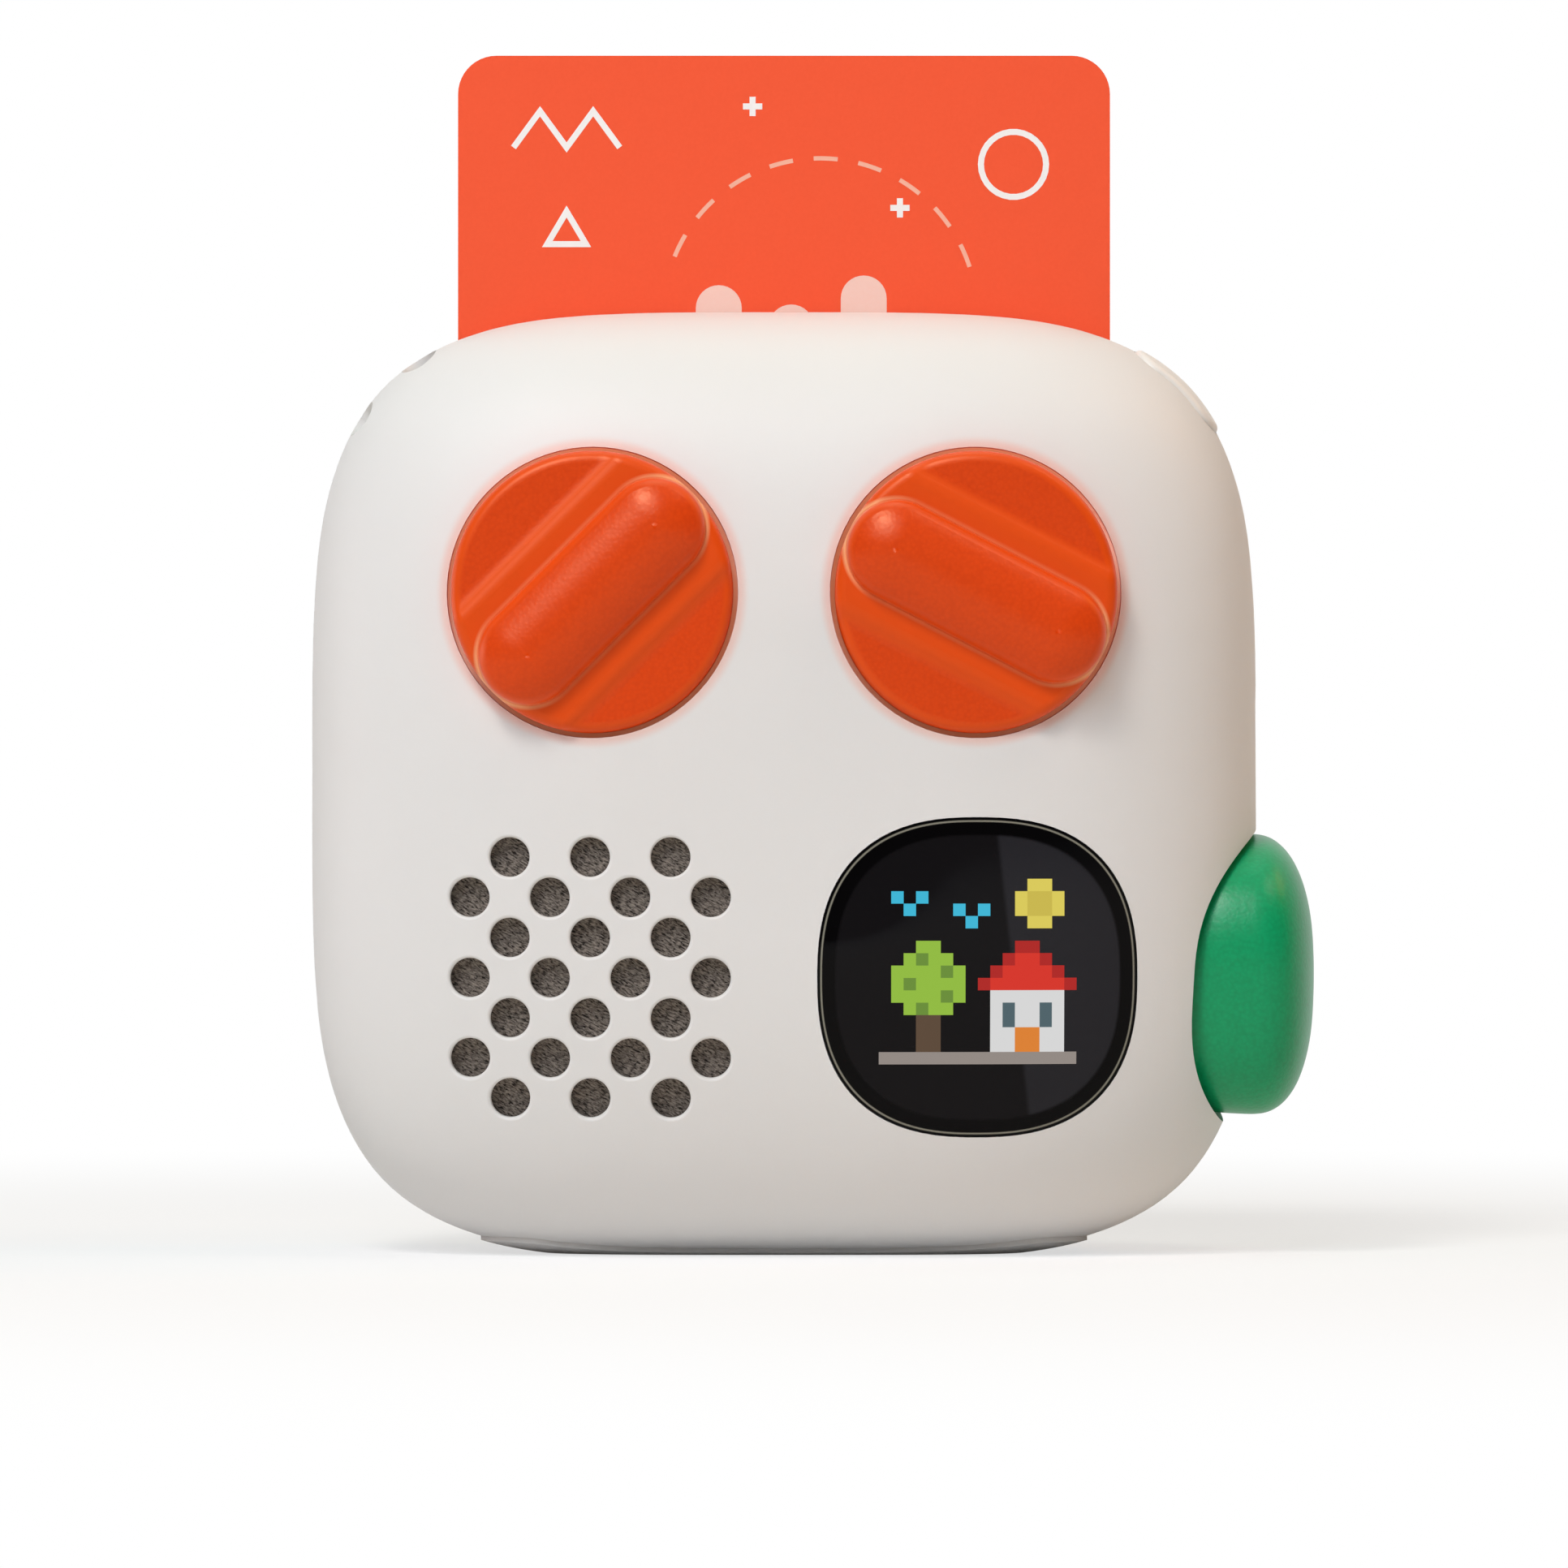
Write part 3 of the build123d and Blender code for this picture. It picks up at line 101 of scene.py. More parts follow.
floor_half = 3.0
floor_lift = -0.02 * mm
floor_corners = ((-1, -1), (1, -1), (1, 1), (-1, 1))
floor_points = [(x * floor_half, y * floor_half, floor_lift) for x, y in floor_corners]
floor = mesh_piece("floor", floor_points, [(0, 1, 2, 3)])

# Pale matt laminate that shows white, with a faint contact shadow near the object, and throws
# much of the light back up on it.
table_white, tree = empty_material("white_matt_laminate")
shadow_share = 0.35
shadow_near = 60 * mm
shadow_reach = 240 * mm
bounce = "#f2f1ef"
dim_side = 0.22                          # of the backdrop's white, in front of the object
dim_edge = 50 * mm                       # the floor's white fades over this far each way
place = add_node(tree, "ShaderNodeTexCoord").outputs["Object"]
depth = add_node(tree, "ShaderNodeSeparateXYZ", {0: place})
behind = add_node(tree, "ShaderNodeMapRange", {
    "Value": depth.outputs["Y"], "From Min": -dim_edge, "From Max": dim_edge,
    "To Min": dim_side, "To Max": 1.0}, interpolation_type="SMOOTHSTEP")
rays = add_node(tree, "ShaderNodeLightPath")
seen = add_node(tree, "ShaderNodeMath", {
    0: rays.outputs["Is Glossy Ray"], 1: rays.outputs["Is Transmission Ray"]}, operation="MAXIMUM")
seen = add_node(tree, "ShaderNodeMath", {0: seen.outputs[0], 1: behind.outputs[0]}, operation="MULTIPLY")
seen = add_node(tree, "ShaderNodeMath", {0: seen.outputs[0], 1: rays.outputs["Is Camera Ray"]},
                operation="MAXIMUM")
away = add_node(tree, "ShaderNodeVectorMath", {0: place}, operation="LENGTH")
near = add_node(tree, "ShaderNodeMapRange", {
    "Value": away.outputs["Value"], "From Min": shadow_near, "From Max": shadow_reach,
    "To Min": shadow_share, "To Max": 0.0}, interpolation_type="SMOOTHSTEP")
fibre = add_node(tree, "ShaderNodeTexNoise", {"Vector": place, "Scale": 1 / (0.8 * mm), "Detail": 3.0})
matt_tone = add_node(tree, "ShaderNodeMix", {
    0: fibre.outputs["Fac"], 6: linear("#fbfaf8"), 7: (1, 1, 1, 1)}, data_type="RGBA")
matt = add_node(tree, "ShaderNodeBsdfDiffuse", {"Color": matt_tone.outputs[2]})
white = add_node(tree, "ShaderNodeEmission", {"Color": (1, 1, 1, 1), "Strength": 1.0})
shown = add_node(tree, "ShaderNodeMixShader", {
    0: near.outputs[0], 1: white.outputs[0], 2: matt.outputs[0]})
dull = add_node(tree, "ShaderNodeBsdfDiffuse", {"Color": linear(bounce)})
mixed = add_node(tree, "ShaderNodeMixShader", {
    0: seen.outputs[0], 1: dull.outputs[0], 2: shown.outputs[0]})
add_node(tree, "ShaderNodeOutputMaterial", {"Surface": mixed.outputs[0]})
floor.data.materials.append(table_white)

world = bpy.data.worlds.new("white_room")
bpy.context.scene.world = world
world.use_nodes = True
tree = world.node_tree
tree.nodes.clear()
room_strength = 0.02
rays = add_node(tree, "ShaderNodeLightPath")
way = add_node(tree, "ShaderNodeTexCoord")
way = add_node(tree, "ShaderNodeSeparateXYZ", {0: way.outputs["Generated"]})
behind = add_node(tree, "ShaderNodeMapRange", {
    "Value": way.outputs["Y"], "From Min": -0.05, "From Max": 0.35, "To Min": dim_side, "To Max": 1.0},
    interpolation_type="SMOOTHSTEP")
seen = add_node(tree, "ShaderNodeMath", {
    0: rays.outputs["Is Glossy Ray"], 1: rays.outputs["Is Transmission Ray"]}, operation="MAXIMUM")
seen = add_node(tree, "ShaderNodeMath", {0: seen.outputs[0], 1: behind.outputs[0]}, operation="MULTIPLY")
seen = add_node(tree, "ShaderNodeMath", {0: seen.outputs[0], 1: rays.outputs["Is Camera Ray"]},
                operation="MAXIMUM")
room = add_node(tree, "ShaderNodeBackground", {"Color": linear("#fdfbf8"), "Strength": room_strength})
backdrop = add_node(tree, "ShaderNodeBackground", {"Color": (1, 1, 1, 1), "Strength": 1.0})
mixed = add_node(tree, "ShaderNodeMixShader", {
    0: seen.outputs[0], 1: room.outputs[0], 2: backdrop.outputs[0]})
add_node(tree, "ShaderNodeOutputWorld", {"Surface": mixed.outputs[0]})

# name, place, width and height in metres, watts and colour
soft_boxes = (
    ("key_box", (-0.354, -0.905, 0.872), 0.70, 0.70, 8.3, "#e6f0ff"),
    ("spot_box", (-0.224, -0.459, 0.654), 0.16, 0.16, 2.1, "#fff9ef"),
    ("high_box", (0.388, -0.194, 0.711), 0.25, 0.25, 1.05, "#ffe4d2"),
    ("side_box", (-0.844, 0.074, 0.112), 0.30, 0.30, 0.86, "#ffeef0"),
    ("amber_box", (0.626, 0.118, 0.602), 0.30, 0.30, 1.0, "#ffa818"),
    ("rim_box", (0.000, 0.089, 0.884), 0.40, 0.40, 1.0, "#d2ffee"),
)
for name, place, width, height, watts, colour in soft_boxes:
    lamp_data = bpy.data.lights.new(name, "AREA")
    lamp_data.shape = "RECTANGLE"
    lamp_data.size = width
    lamp_data.size_y = height
    lamp_data.energy = watts
    lamp_data.color = linear(colour)[:3]
    lamp = bpy.data.objects.new(name, lamp_data)
    lamp.location = place
    aim = Vector((0, 0, body_middle)) - Vector(place)
    lamp.rotation_euler = aim.to_track_quat("-Z", "Y").to_euler()
    lamp.visible_camera = False
    bpy.context.scene.collection.objects.link(lamp)

# ------------------------------------------------------------------ shells
# Two ABS mouldings that meet on a line round the sides. The mould was spark eroded, which
# leaves a warm white, matt skin with a very fine even grain.
knob_x = 15.5 * mm
knob_z = 54.1 * mm
pocket_radius = 11.8 * mm
# width and strength of the painted glow round the knob pockets
glow_reach = 1.1 * mm
glow_share = 0.42
wall_clear = 0.05 * mm                   # keeps the pocket's wall out of its floor
floor_depth = 1.0 * mm                   # pocket floor and a little more, behind the knob
grain_width = 0.22 * mm
grain_depth = 0.012 * mm
tone_width = 22 * mm

shell_abs, tree = empty_material("spark_eroded_abs")
place = add_node(tree, "ShaderNodeTexCoord").outputs["Object"]
tone = add_node(tree, "ShaderNodeTexNoise", {"Vector": place, "Scale": 1 / tone_width, "Detail": 3.0})
warm = add_node(tree, "ShaderNodeMix", {
    0: tone.outputs["Fac"], 6: linear("#e7e3df"), 7: linear("#ebe8e4")}, data_type="RGBA")
# painted glow: the knobs' orange light bounced onto the pale plastic just round their pockets, on the front
# alone
split = add_node(tree, "ShaderNodeSeparateXYZ", {0: place})
pocket_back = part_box("left_knob")[1].y + floor_depth
fore = add_node(tree, "ShaderNodeMath", {0: split.outputs["Y"], 1: pocket_back}, operation="LESS_THAN")
glows, floors = [], []
for side in (-1, 1):
    centred = add_node(tree, "ShaderNodeVectorMath", {0: place, 1: (side * knob_x, 0, knob_z)},
                       operation="SUBTRACT")
    flat = add_node(tree, "ShaderNodeVectorMath", {0: centred.outputs[0], 1: (1, 0, 1)},
                    operation="MULTIPLY")
    reach = add_node(tree, "ShaderNodeVectorMath", {0: flat.outputs[0]}, operation="LENGTH")
    glows.append(add_node(tree, "ShaderNodeMapRange", {
        "Value": reach.outputs["Value"], "From Min": pocket_radius, "From Max": pocket_radius + glow_reach,
        "To Min": glow_share, "To Max": 0.0}, interpolation_type="SMOOTHERSTEP"))
    floors.append(add_node(tree, "ShaderNodeMath", {
        0: reach.outputs["Value"], 1: pocket_radius - wall_clear}, operation="LESS_THAN"))
glow = add_node(tree, "ShaderNodeMath", {0: glows[0].outputs[0], 1: glows[1].outputs[0]}, operation="ADD")
glow = add_node(tree, "ShaderNodeMath", {0: glow.outputs[0], 1: fore.outputs[0]}, operation="MULTIPLY")
painted_glow_tone = add_node(tree, "ShaderNodeMix", {0: glow.outputs[0], 6: warm.outputs[2], 7: linear("#f0997c")},
                  data_type="RGBA")
# painted glow: the pockets' floors give off a brown light, stronger towards the top, that stands in for the
# lit gap round each knob
floor_glow_share = add_node(tree, "ShaderNodeMath", {0: floors[0].outputs[0], 1: floors[1].outputs[0]},
                       operation="ADD")
floor_glow_share = add_node(tree, "ShaderNodeMath", {0: floor_glow_share.outputs[0], 1: fore.outputs[0]},
                       operation="MULTIPLY")
level = add_node(tree, "ShaderNodeMapRange", {
    "Value": split.outputs["Z"], "From Min": knob_z - pocket_radius, "From Max": knob_z + pocket_radius,
    "To Min": 0.35, "To Max": 1.0})
level = add_node(tree, "ShaderNodeMath", {0: floor_glow_share.outputs[0], 1: level.outputs[0]},
                 operation="MULTIPLY")
grain = add_node(tree, "ShaderNodeTexNoise", {"Vector": place, "Scale": 1 / grain_width, "Detail": 2.0})
raised = add_node(tree, "ShaderNodeBump", {"Height": grain.outputs["Fac"], "Strength": 0.35,
                                           "Distance": grain_depth})
# the emission here is the painted glow on the pockets' floors
skin = add_node(tree, "ShaderNodeBsdfPrincipled", {
    "Base Color": painted_glow_tone.outputs[2], "Roughness": 0.52, "IOR": 1.53, "Normal": raised.outputs[0],
    "Emission Color": linear("#a06a4a"), "Emission Strength": level.outputs[0]})
add_node(tree, "ShaderNodeOutputMaterial", {"Surface": skin.outputs[0]})
for name in ("front_shell", "rear_shell"):
    nodes[name].material_slots[0].material = shell_abs

# ------------------------------------------------------------------ base pad
# A strip of grey-white silicone rubber pressed into a seat under the body. It is duller than
# the shells and picks up a little dust.
pad_rubber, tree = empty_material("moulded_silicone_rubber")
place = add_node(tree, "ShaderNodeTexCoord").outputs["Object"]
dust = add_node(tree, "ShaderNodeTexNoise", {"Vector": place, "Scale": 1 / (1.5 * mm), "Detail": 6.0})
tone = add_node(tree, "ShaderNodeMix", {0: dust.outputs["Fac"], 6: linear("#e6e2dd"), 7: linear("#efebe6")},
                data_type="RGBA")
raised = add_node(tree, "ShaderNodeBump", {"Height": dust.outputs["Fac"], "Strength": 0.4,
                                           "Distance": 0.02 * mm})
skin = add_node(tree, "ShaderNodeBsdfPrincipled", {
    "Base Color": tone.outputs[2], "Roughness": 0.78, "IOR": 1.41, "Normal": raised.outputs[0]})
add_node(tree, "ShaderNodeOutputMaterial", {"Surface": skin.outputs[0]})
nodes["base_pad"].material_slots[0].material = pad_rubber

# ------------------------------------------------------------------ knobs
# Each knob is one moulding in orange ABS: a disc with a smooth band across it, two slightly
# lower crescents and a tall grip ridge. Crescents and ridge are etched with a leather grain.
knob_radius = 11.4 * mm
ridge_reach = 7.22 * mm                  # centre to the ridge's end centres
ridge_half = 4.07 * mm
band_half = 6.38 * mm
rim_smooth = 1.0 * mm                    # polished round its edge
foot_highlight_width = 0.28 * mm                    # painted highlight at the ridge's foot, as of light caught in a fillet there
leather_width = 0.30 * mm
leather_depth = 0.014 * mm
smooth_rough = 0.38
etched_rough = 0.33
knob_gloss = 0.45
point_near = 0.04 * mm                   # from a ridge's end centre, where the gloss starts
point_far = 0.2 * mm                     # and where it is whole


def leather_grain(tree, place):
    """The height of a fine pebbled leather grain, from 0 to 1."""
    bent = add_node(tree, "ShaderNodeTexNoise", {
        "Vector": place, "Scale": 0.6 / leather_width, "Detail": 1.0})
    bend = add_node(tree, "ShaderNodeVectorMath", {0: bent.outputs["Color"], "Scale": 0.5 * leather_width},
                    operation="SCALE")
    moved = add_node(tree, "ShaderNodeVectorMath", {0: place, 1: bend.outputs[0]}, operation="ADD")
    cells = add_node(tree, "ShaderNodeTexVoronoi", {"Vector": moved.outputs[0], "Scale": 1 / leather_width},
                     feature="SMOOTH_F1")
    return add_node(tree, "ShaderNodeMapRange", {"Value": cells.outputs["Distance"], "From Min": 0.1,
                                                 "From Max": 0.7, "To Min": 1.0, "To Max": 0.0})


def knob_plastic(side, turn):
    """Orange ABS with the grain, the smooth parts and a painted highlight round the ridge's foot laid out
    for one knob.
    """
    material, tree = empty_material("leather_grained_orange_abs")
    place = add_node(tree, "ShaderNodeTexCoord").outputs["Object"]
    centred = add_node(tree, "ShaderNodeVectorMath", {0: place, 1: (side * knob_x, 0, knob_z)},
                       operation="SUBTRACT").outputs[0]
    along = add_node(tree, "ShaderNodeVectorMath", {0: centred, 1: (cos(turn), 0, sin(turn))},
                     operation="DOT_PRODUCT").outputs["Value"]
    across = add_node(tree, "ShaderNodeVectorMath", {0: centred, 1: (-sin(turn), 0, cos(turn))},
                      operation="DOT_PRODUCT").outputs["Value"]
    length = add_node(tree, "ShaderNodeMath", {0: along}, operation="ABSOLUTE").outputs[0]
    width = add_node(tree, "ShaderNodeMath", {0: across}, operation="ABSOLUTE").outputs[0]
    past_end = add_node(tree, "ShaderNodeMath", {0: length, 1: ridge_reach},
                        operation="SUBTRACT").outputs[0]
    beyond = add_node(tree, "ShaderNodeMath", {0: past_end, 1: 0.0}, operation="MAXIMUM").outputs[0]
    off_ridge = add_node(tree, "ShaderNodeCombineXYZ", {"X": beyond, "Y": width}).outputs[0]
    off_ridge = add_node(tree, "ShaderNodeVectorMath", {0: off_ridge}, operation="LENGTH").outputs["Value"]
    off_middle = add_node(tree, "ShaderNodeCombineXYZ", {"X": along, "Y": across}).outputs[0]
    off_middle = add_node(tree, "ShaderNodeVectorMath", {0: off_middle},
                          operation="LENGTH").outputs["Value"]
    crescent = add_node(tree, "ShaderNodeMapRange", {
        "Value": width, "From Min": band_half + 0.1 * mm, "From Max": band_half + 0.7 * mm},
        interpolation_type="SMOOTHSTEP").outputs[0]
    ridge = add_node(tree, "ShaderNodeMapRange", {
        "Value": off_ridge, "From Min": ridge_half - 0.8 * mm, "From Max": ridge_half - 0.2 * mm,
        "To Min": 1.0, "To Max": 0.0}, interpolation_type="SMOOTHSTEP").outputs[0]
    inside = add_node(tree, "ShaderNodeMapRange", {
        "Value": off_middle, "From Min": knob_radius - rim_smooth,
        "From Max": knob_radius - 0.5 * rim_smooth, "To Min": 1.0, "To Max": 0.0},
        interpolation_type="SMOOTHSTEP").outputs[0]
    crescent = add_node(tree, "ShaderNodeMath", {0: crescent, 1: inside}, operation="MULTIPLY").outputs[0]
    etched = add_node(tree, "ShaderNodeMath", {0: crescent, 1: ridge}, operation="MAXIMUM").outputs[0]
    leather = leather_grain(tree, place).outputs[0]
    height = add_node(tree, "ShaderNodeMath", {0: leather, 1: etched}, operation="MULTIPLY").outputs[0]
    grained = add_node(tree, "ShaderNodeMix", {0: leather, 6: linear("#dc400a"), 7: linear("#e4460d")},
                       data_type="RGBA").outputs[2]
    tone = add_node(tree, "ShaderNodeMix", {0: etched, 6: linear("#e84c0b"), 7: grained},
                    data_type="RGBA").outputs[2]
    # painted highlight: a thin pale line round the ridge's foot, stronger towards the ridge's ends
    line = add_node(tree, "ShaderNodeMath", {0: off_ridge, 1: ridge_half + foot_highlight_width / 2},
                    operation="SUBTRACT").outputs[0]
    line = add_node(tree, "ShaderNodeMath", {0: line}, operation="ABSOLUTE").outputs[0]
    line = add_node(tree, "ShaderNodeMapRange", {"Value": line, "From Min": 0.0, "From Max": foot_highlight_width,
                                                 "To Min": 1.0, "To Max": 0.0}).outputs[0]
    shine = add_node(tree, "ShaderNodeMapRange", {"Value": beyond, "From Min": 0.0, "From Max": ridge_half,
                                                  "To Min": 0.22, "To Max": 0.75},
                     interpolation_type="SMOOTHSTEP").outputs[0]
    line = add_node(tree, "ShaderNodeMath", {0: line, 1: shine}, operation="MULTIPLY").outputs[0]
    # the disc's side wall faces away from the front and gets no painted line
    facing = add_node(tree, "ShaderNodeTexCoord").outputs["Normal"]
    facing = add_node(tree, "ShaderNodeSeparateXYZ", {0: facing}).outputs["Y"]
    facing = add_node(tree, "ShaderNodeMapRange", {"Value": facing, "From Min": -0.22, "From Max": -0.04,
                                                   "To Min": 1.0, "To Max": 0.0}).outputs[0]
    line = add_node(tree, "ShaderNodeMath", {0: line, 1: facing}, operation="MULTIPLY").outputs[0]
    tone = add_node(tree, "ShaderNodeMix", {0: line, 6: tone, 7: linear("#ffc08a")},
                    data_type="RGBA").outputs[2]
    rough = add_node(tree, "ShaderNodeMapRange", {
        "Value": etched, "To Min": smooth_rough, "To Max": etched_rough}).outputs[0]
    raised = add_node(tree, "ShaderNodeBump", {"Height": height, "Strength": 0.6,
                                               "Distance": leather_depth}).outputs[0]
    # no shine on the point where the mesh's facets meet at each end of the ridge
    off_point = add_node(tree, "ShaderNodeCombineXYZ", {"X": past_end, "Y": across}).outputs[0]
    off_point = add_node(tree, "ShaderNodeVectorMath", {0: off_point}, operation="LENGTH").outputs["Value"]
    gloss = add_node(tree, "ShaderNodeMapRange", {
        "Value": off_point, "From Min": point_near, "From Max": point_far,
        "To Min": 0.0, "To Max": knob_gloss}).outputs[0]
    skin = add_node(tree, "ShaderNodeBsdfPrincipled", {
        "Base Color": tone, "Roughness": rough, "IOR": 1.53, "Specular IOR Level": gloss,
        "Specular Tint": linear("#ffcfa6"), "Normal": raised})
    add_node(tree, "ShaderNodeOutputMaterial", {"Surface": skin.outputs[0]})
    return material


nodes["left_knob"].material_slots[0].material = knob_plastic(-1, radians(45.0))
nodes["right_knob"].material_slots[0].material = knob_plastic(1, radians(-27.4))

# ------------------------------------------------------------------ grille cloth
# Grey-brown felt glued behind the grille: matted dark wool with pale hairs that run slightly
# downhill to the right.
hair_width = 0.13 * mm
hair_slope = radians(-28)
hair_stretch = 3.2

felt, tree = empty_material("matted_wool_felt")
place = add_node(tree, "ShaderNodeTexCoord").outputs["Object"]
lengthwise = add_node(tree, "ShaderNodeVectorMath", {
    0: place, 1: (cos(hair_slope) / hair_stretch, 0, sin(hair_slope) / hair_stretch)},
    operation="DOT_PRODUCT")
crosswise = add_node(tree, "ShaderNodeVectorMath", {
    0: place, 1: (-sin(hair_slope), 0, cos(hair_slope))}, operation="DOT_PRODUCT")
laid = add_node(tree, "ShaderNodeCombineXYZ", {"X": lengthwise.outputs["Value"],
                                               "Y": crosswise.outputs["Value"]})
hair = add_node(tree, "ShaderNodeTexNoise", {
    "Vector": laid.outputs[0], "Scale": 1 / hair_width, "Detail": 3.0, "Roughness": 0.6, "Distortion": 0.6})
strands = add_node(tree, "ShaderNodeValToRGB", {"Fac": hair.outputs["Fac"]})
strands.color_ramp.elements[0].position = 0.36
strands.color_ramp.elements[0].color = linear("#15110f")
strands.color_ramp.elements[1].position = 0.64
strands.color_ramp.elements[1].color = linear("#94897f")
raised = add_node(tree, "ShaderNodeBump", {"Height": hair.outputs["Fac"], "Strength": 0.8,
                                           "Distance": 0.08 * mm})
skin = add_node(tree, "ShaderNodeBsdfPrincipled", {
    "Base Color": strands.outputs[0], "Roughness": 0.95, "Specular IOR Level": 0.2,
    "Normal": raised.outputs[0]})
add_node(tree, "ShaderNodeOutputMaterial", {"Surface": skin.outputs[0]})
nodes["speaker_cloth"].material_slots[0].material = felt

# ------------------------------------------------------------------ display
# A smoked acrylic lens with a polished edge, printed black round its window, with a painted highlight along
# its edge and a painted reflection over its right part. Behind it a grid of sixteen by sixteen lamps shows
# a little picture.
lens_low, lens_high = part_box("display_lens")
lens_x, lens_z = (lens_low.x + lens_high.x) / 2, (lens_low.z + lens_high.z) / 2
lens_half = 12.92 * mm
lens_power = 2.5
window_share = 11.52 / 12.92             # window's size as a share of the lens
rim_highlight_place = 0.980                        # where the painted highlight along the edge lies
reflection_slope = radians(96.5)               # slant of the painted reflection's edge
reflection_place = 2.9 * mm                    # beside the lens's middle

smoked, tree = empty_material("smoked_gloss_acrylic")
place = add_node(tree, "ShaderNodeTexCoord").outputs["Object"]
centred = add_node(tree, "ShaderNodeVectorMath", {0: place, 1: (lens_x, 0, lens_z)}, operation="SUBTRACT")
sides = add_node(tree, "ShaderNodeSeparateXYZ", {0: centred.outputs[0]})
powers = []
for axis in ("X", "Z"):
    size = add_node(tree, "ShaderNodeMath", {0: sides.outputs[axis]}, operation="ABSOLUTE")
    size = add_node(tree, "ShaderNodeMath", {0: size.outputs[0], 1: lens_half}, operation="DIVIDE")
    powers.append(add_node(tree, "ShaderNodeMath", {0: size.outputs[0], 1: lens_power}, operation="POWER"))
total = add_node(tree, "ShaderNodeMath", {0: powers[0].outputs[0], 1: powers[1].outputs[0]},
                 operation="ADD")
reach = add_node(tree, "ShaderNodeMath", {0: total.outputs[0], 1: 1 / lens_power}, operation="POWER")
# painted reflection: a faint blue-grey sheen with a slanted edge over the window's right part
beside = add_node(tree, "ShaderNodeVectorMath", {
    0: centred.outputs[0], 1: (sin(reflection_slope), 0, -cos(reflection_slope))}, operation="DOT_PRODUCT")
reflection_share = add_node(tree, "ShaderNodeMapRange", {
    "Value": beside.outputs["Value"], "From Min": reflection_place - 0.25 * mm,
    "From Max": reflection_place + 0.25 * mm}, interpolation_type="SMOOTHSTEP")
glass_and_reflection = add_node(tree, "ShaderNodeMix", {0: reflection_share.outputs[0], 6: linear("#121012"), 7: linear("#28272b")},
                 data_type="RGBA")
printed = add_node(tree, "ShaderNodeMapRange", {
    "Value": reach.outputs[0], "From Min": window_share - 0.012, "From Max": window_share + 0.012},
    interpolation_type="SMOOTHSTEP")
dark = add_node(tree, "ShaderNodeMix", {0: printed.outputs[0], 6: glass_and_reflection.outputs[2], 7: linear("#020102")},
                data_type="RGBA")
# painted highlight: a thin pale line along the polished edge
rim_highlight = add_node(tree, "ShaderNodeMath", {0: reach.outputs[0], 1: rim_highlight_place}, operation="SUBTRACT")
rim_highlight = add_node(tree, "ShaderNodeMath", {0: rim_highlight.outputs[0]}, operation="ABSOLUTE")
rim_highlight = add_node(tree, "ShaderNodeMapRange", {"Value": rim_highlight.outputs[0], "From Min": 0.002, "From Max": 0.008,
                                            "To Min": 1.0, "To Max": 0.0})
edged = add_node(tree, "ShaderNodeMix", {0: rim_highlight.outputs[0], 6: dark.outputs[2], 7: linear("#8d8a7c")},
                 data_type="RGBA")
skin = add_node(tree, "ShaderNodeBsdfPrincipled", {
    "Base Color": edged.outputs[2], "Roughness": 0.03, "IOR": 1.49, "Specular IOR Level": 0.1})
add_node(tree, "ShaderNodeOutputMaterial", {"Surface": skin.outputs[0]})
nodes["display_lens"].material_slots[0].material = smoked

# the lens's front as one smooth formula in x and z, found by looking straight at its mesh
lens_orders = [(i, j) for i in range(5) for j in range(5 - i)]


def lens_terms(x, z):
    """Powers of the place on the lens, in lens half widths."""
    u, w = (x - lens_x) / lens_half, (z - lens_z) / lens_half
    return [u ** i * w ** j for i, j in lens_orders]


lens_rows, lens_depths = [], []
for column in range(-11, 12):
    for row in range(-11, 12):
        x, z = lens_x + column * mm, lens_z + row * mm
        found, spot, _, _ = nodes["display_lens"].ray_cast((x, -0.1, z), (0, 1, 0))
        if found and hypot(column, row) * mm < 0.95 * lens_half:
            lens_rows.append(lens_terms(x, z))
            lens_depths.append(spot.y)
lens_fit = np.linalg.lstsq(np.array(lens_rows), np.array(lens_depths), rcond=None)[0]


def lens_face(x, z):
    """The lens's front at x, z."""
    return float(np.dot(lens_terms(x, z), lens_fit))


# a house, a tree, the sun and two birds, one letter for each lamp's colour
lamp_colours = {
    "y": "#dccc5c", "Y": "#cbb94f", "c": "#40b8d8", "g": "#93bd42", "G": "#6b8f3a", "k": "#5d4a3a",
    "r": "#b02825", "R": "#d8362a", "t": "#50646b", "o": "#de8234", "w": "#d9d9d9", "b": "#948b85",
}
picture = (
    "............yy..",
    ".c.c.......yYYy.",
    "..c...c.c..yYYy.",
    ".......c....yy..",
    "................",
    "...gg......rr...",
    "..gGgg....rRRr..",
    ".ggggGg..rRRRRr.",
    ".gGgggg.rRRRRRRr",
    ".ggggGg..wwwwww.",
    "..gGgg...wtwwtw.",
    "...kk....wtwwtw.",
    "...kk....wwooww.",
    "...kk....wwooww.",
    "bbbbbbbbbbbbbbbb",
    "................",
)
lamp_pitch = 1.0 * mm
lamp_proud = 0.012 * mm
grid_half = 8 * lamp_pitch
lamp_points, lamp_faces, lamp_marks = [], [], []
lamp_kinds = sorted(lamp_colours)
for row, line in enumerate(picture):
    for column, mark in enumerate(line):
        if mark == ".":
            continue
        first = len(lamp_points)
        for dx, dz in ((0, 0), (1, 0), (1, 1), (0, 1)):
            x = lens_x - grid_half + (column + dx) * lamp_pitch
            z = lens_z + grid_half - (row + dz) * lamp_pitch
            lamp_points.append((x, lens_face(x, z) - lamp_proud, z))
        lamp_faces.append((first, first + 3, first + 2, first + 1))
        lamp_marks.append(lamp_kinds.index(mark))
lamps = mesh_piece("display_lamps", lamp_points, lamp_faces)
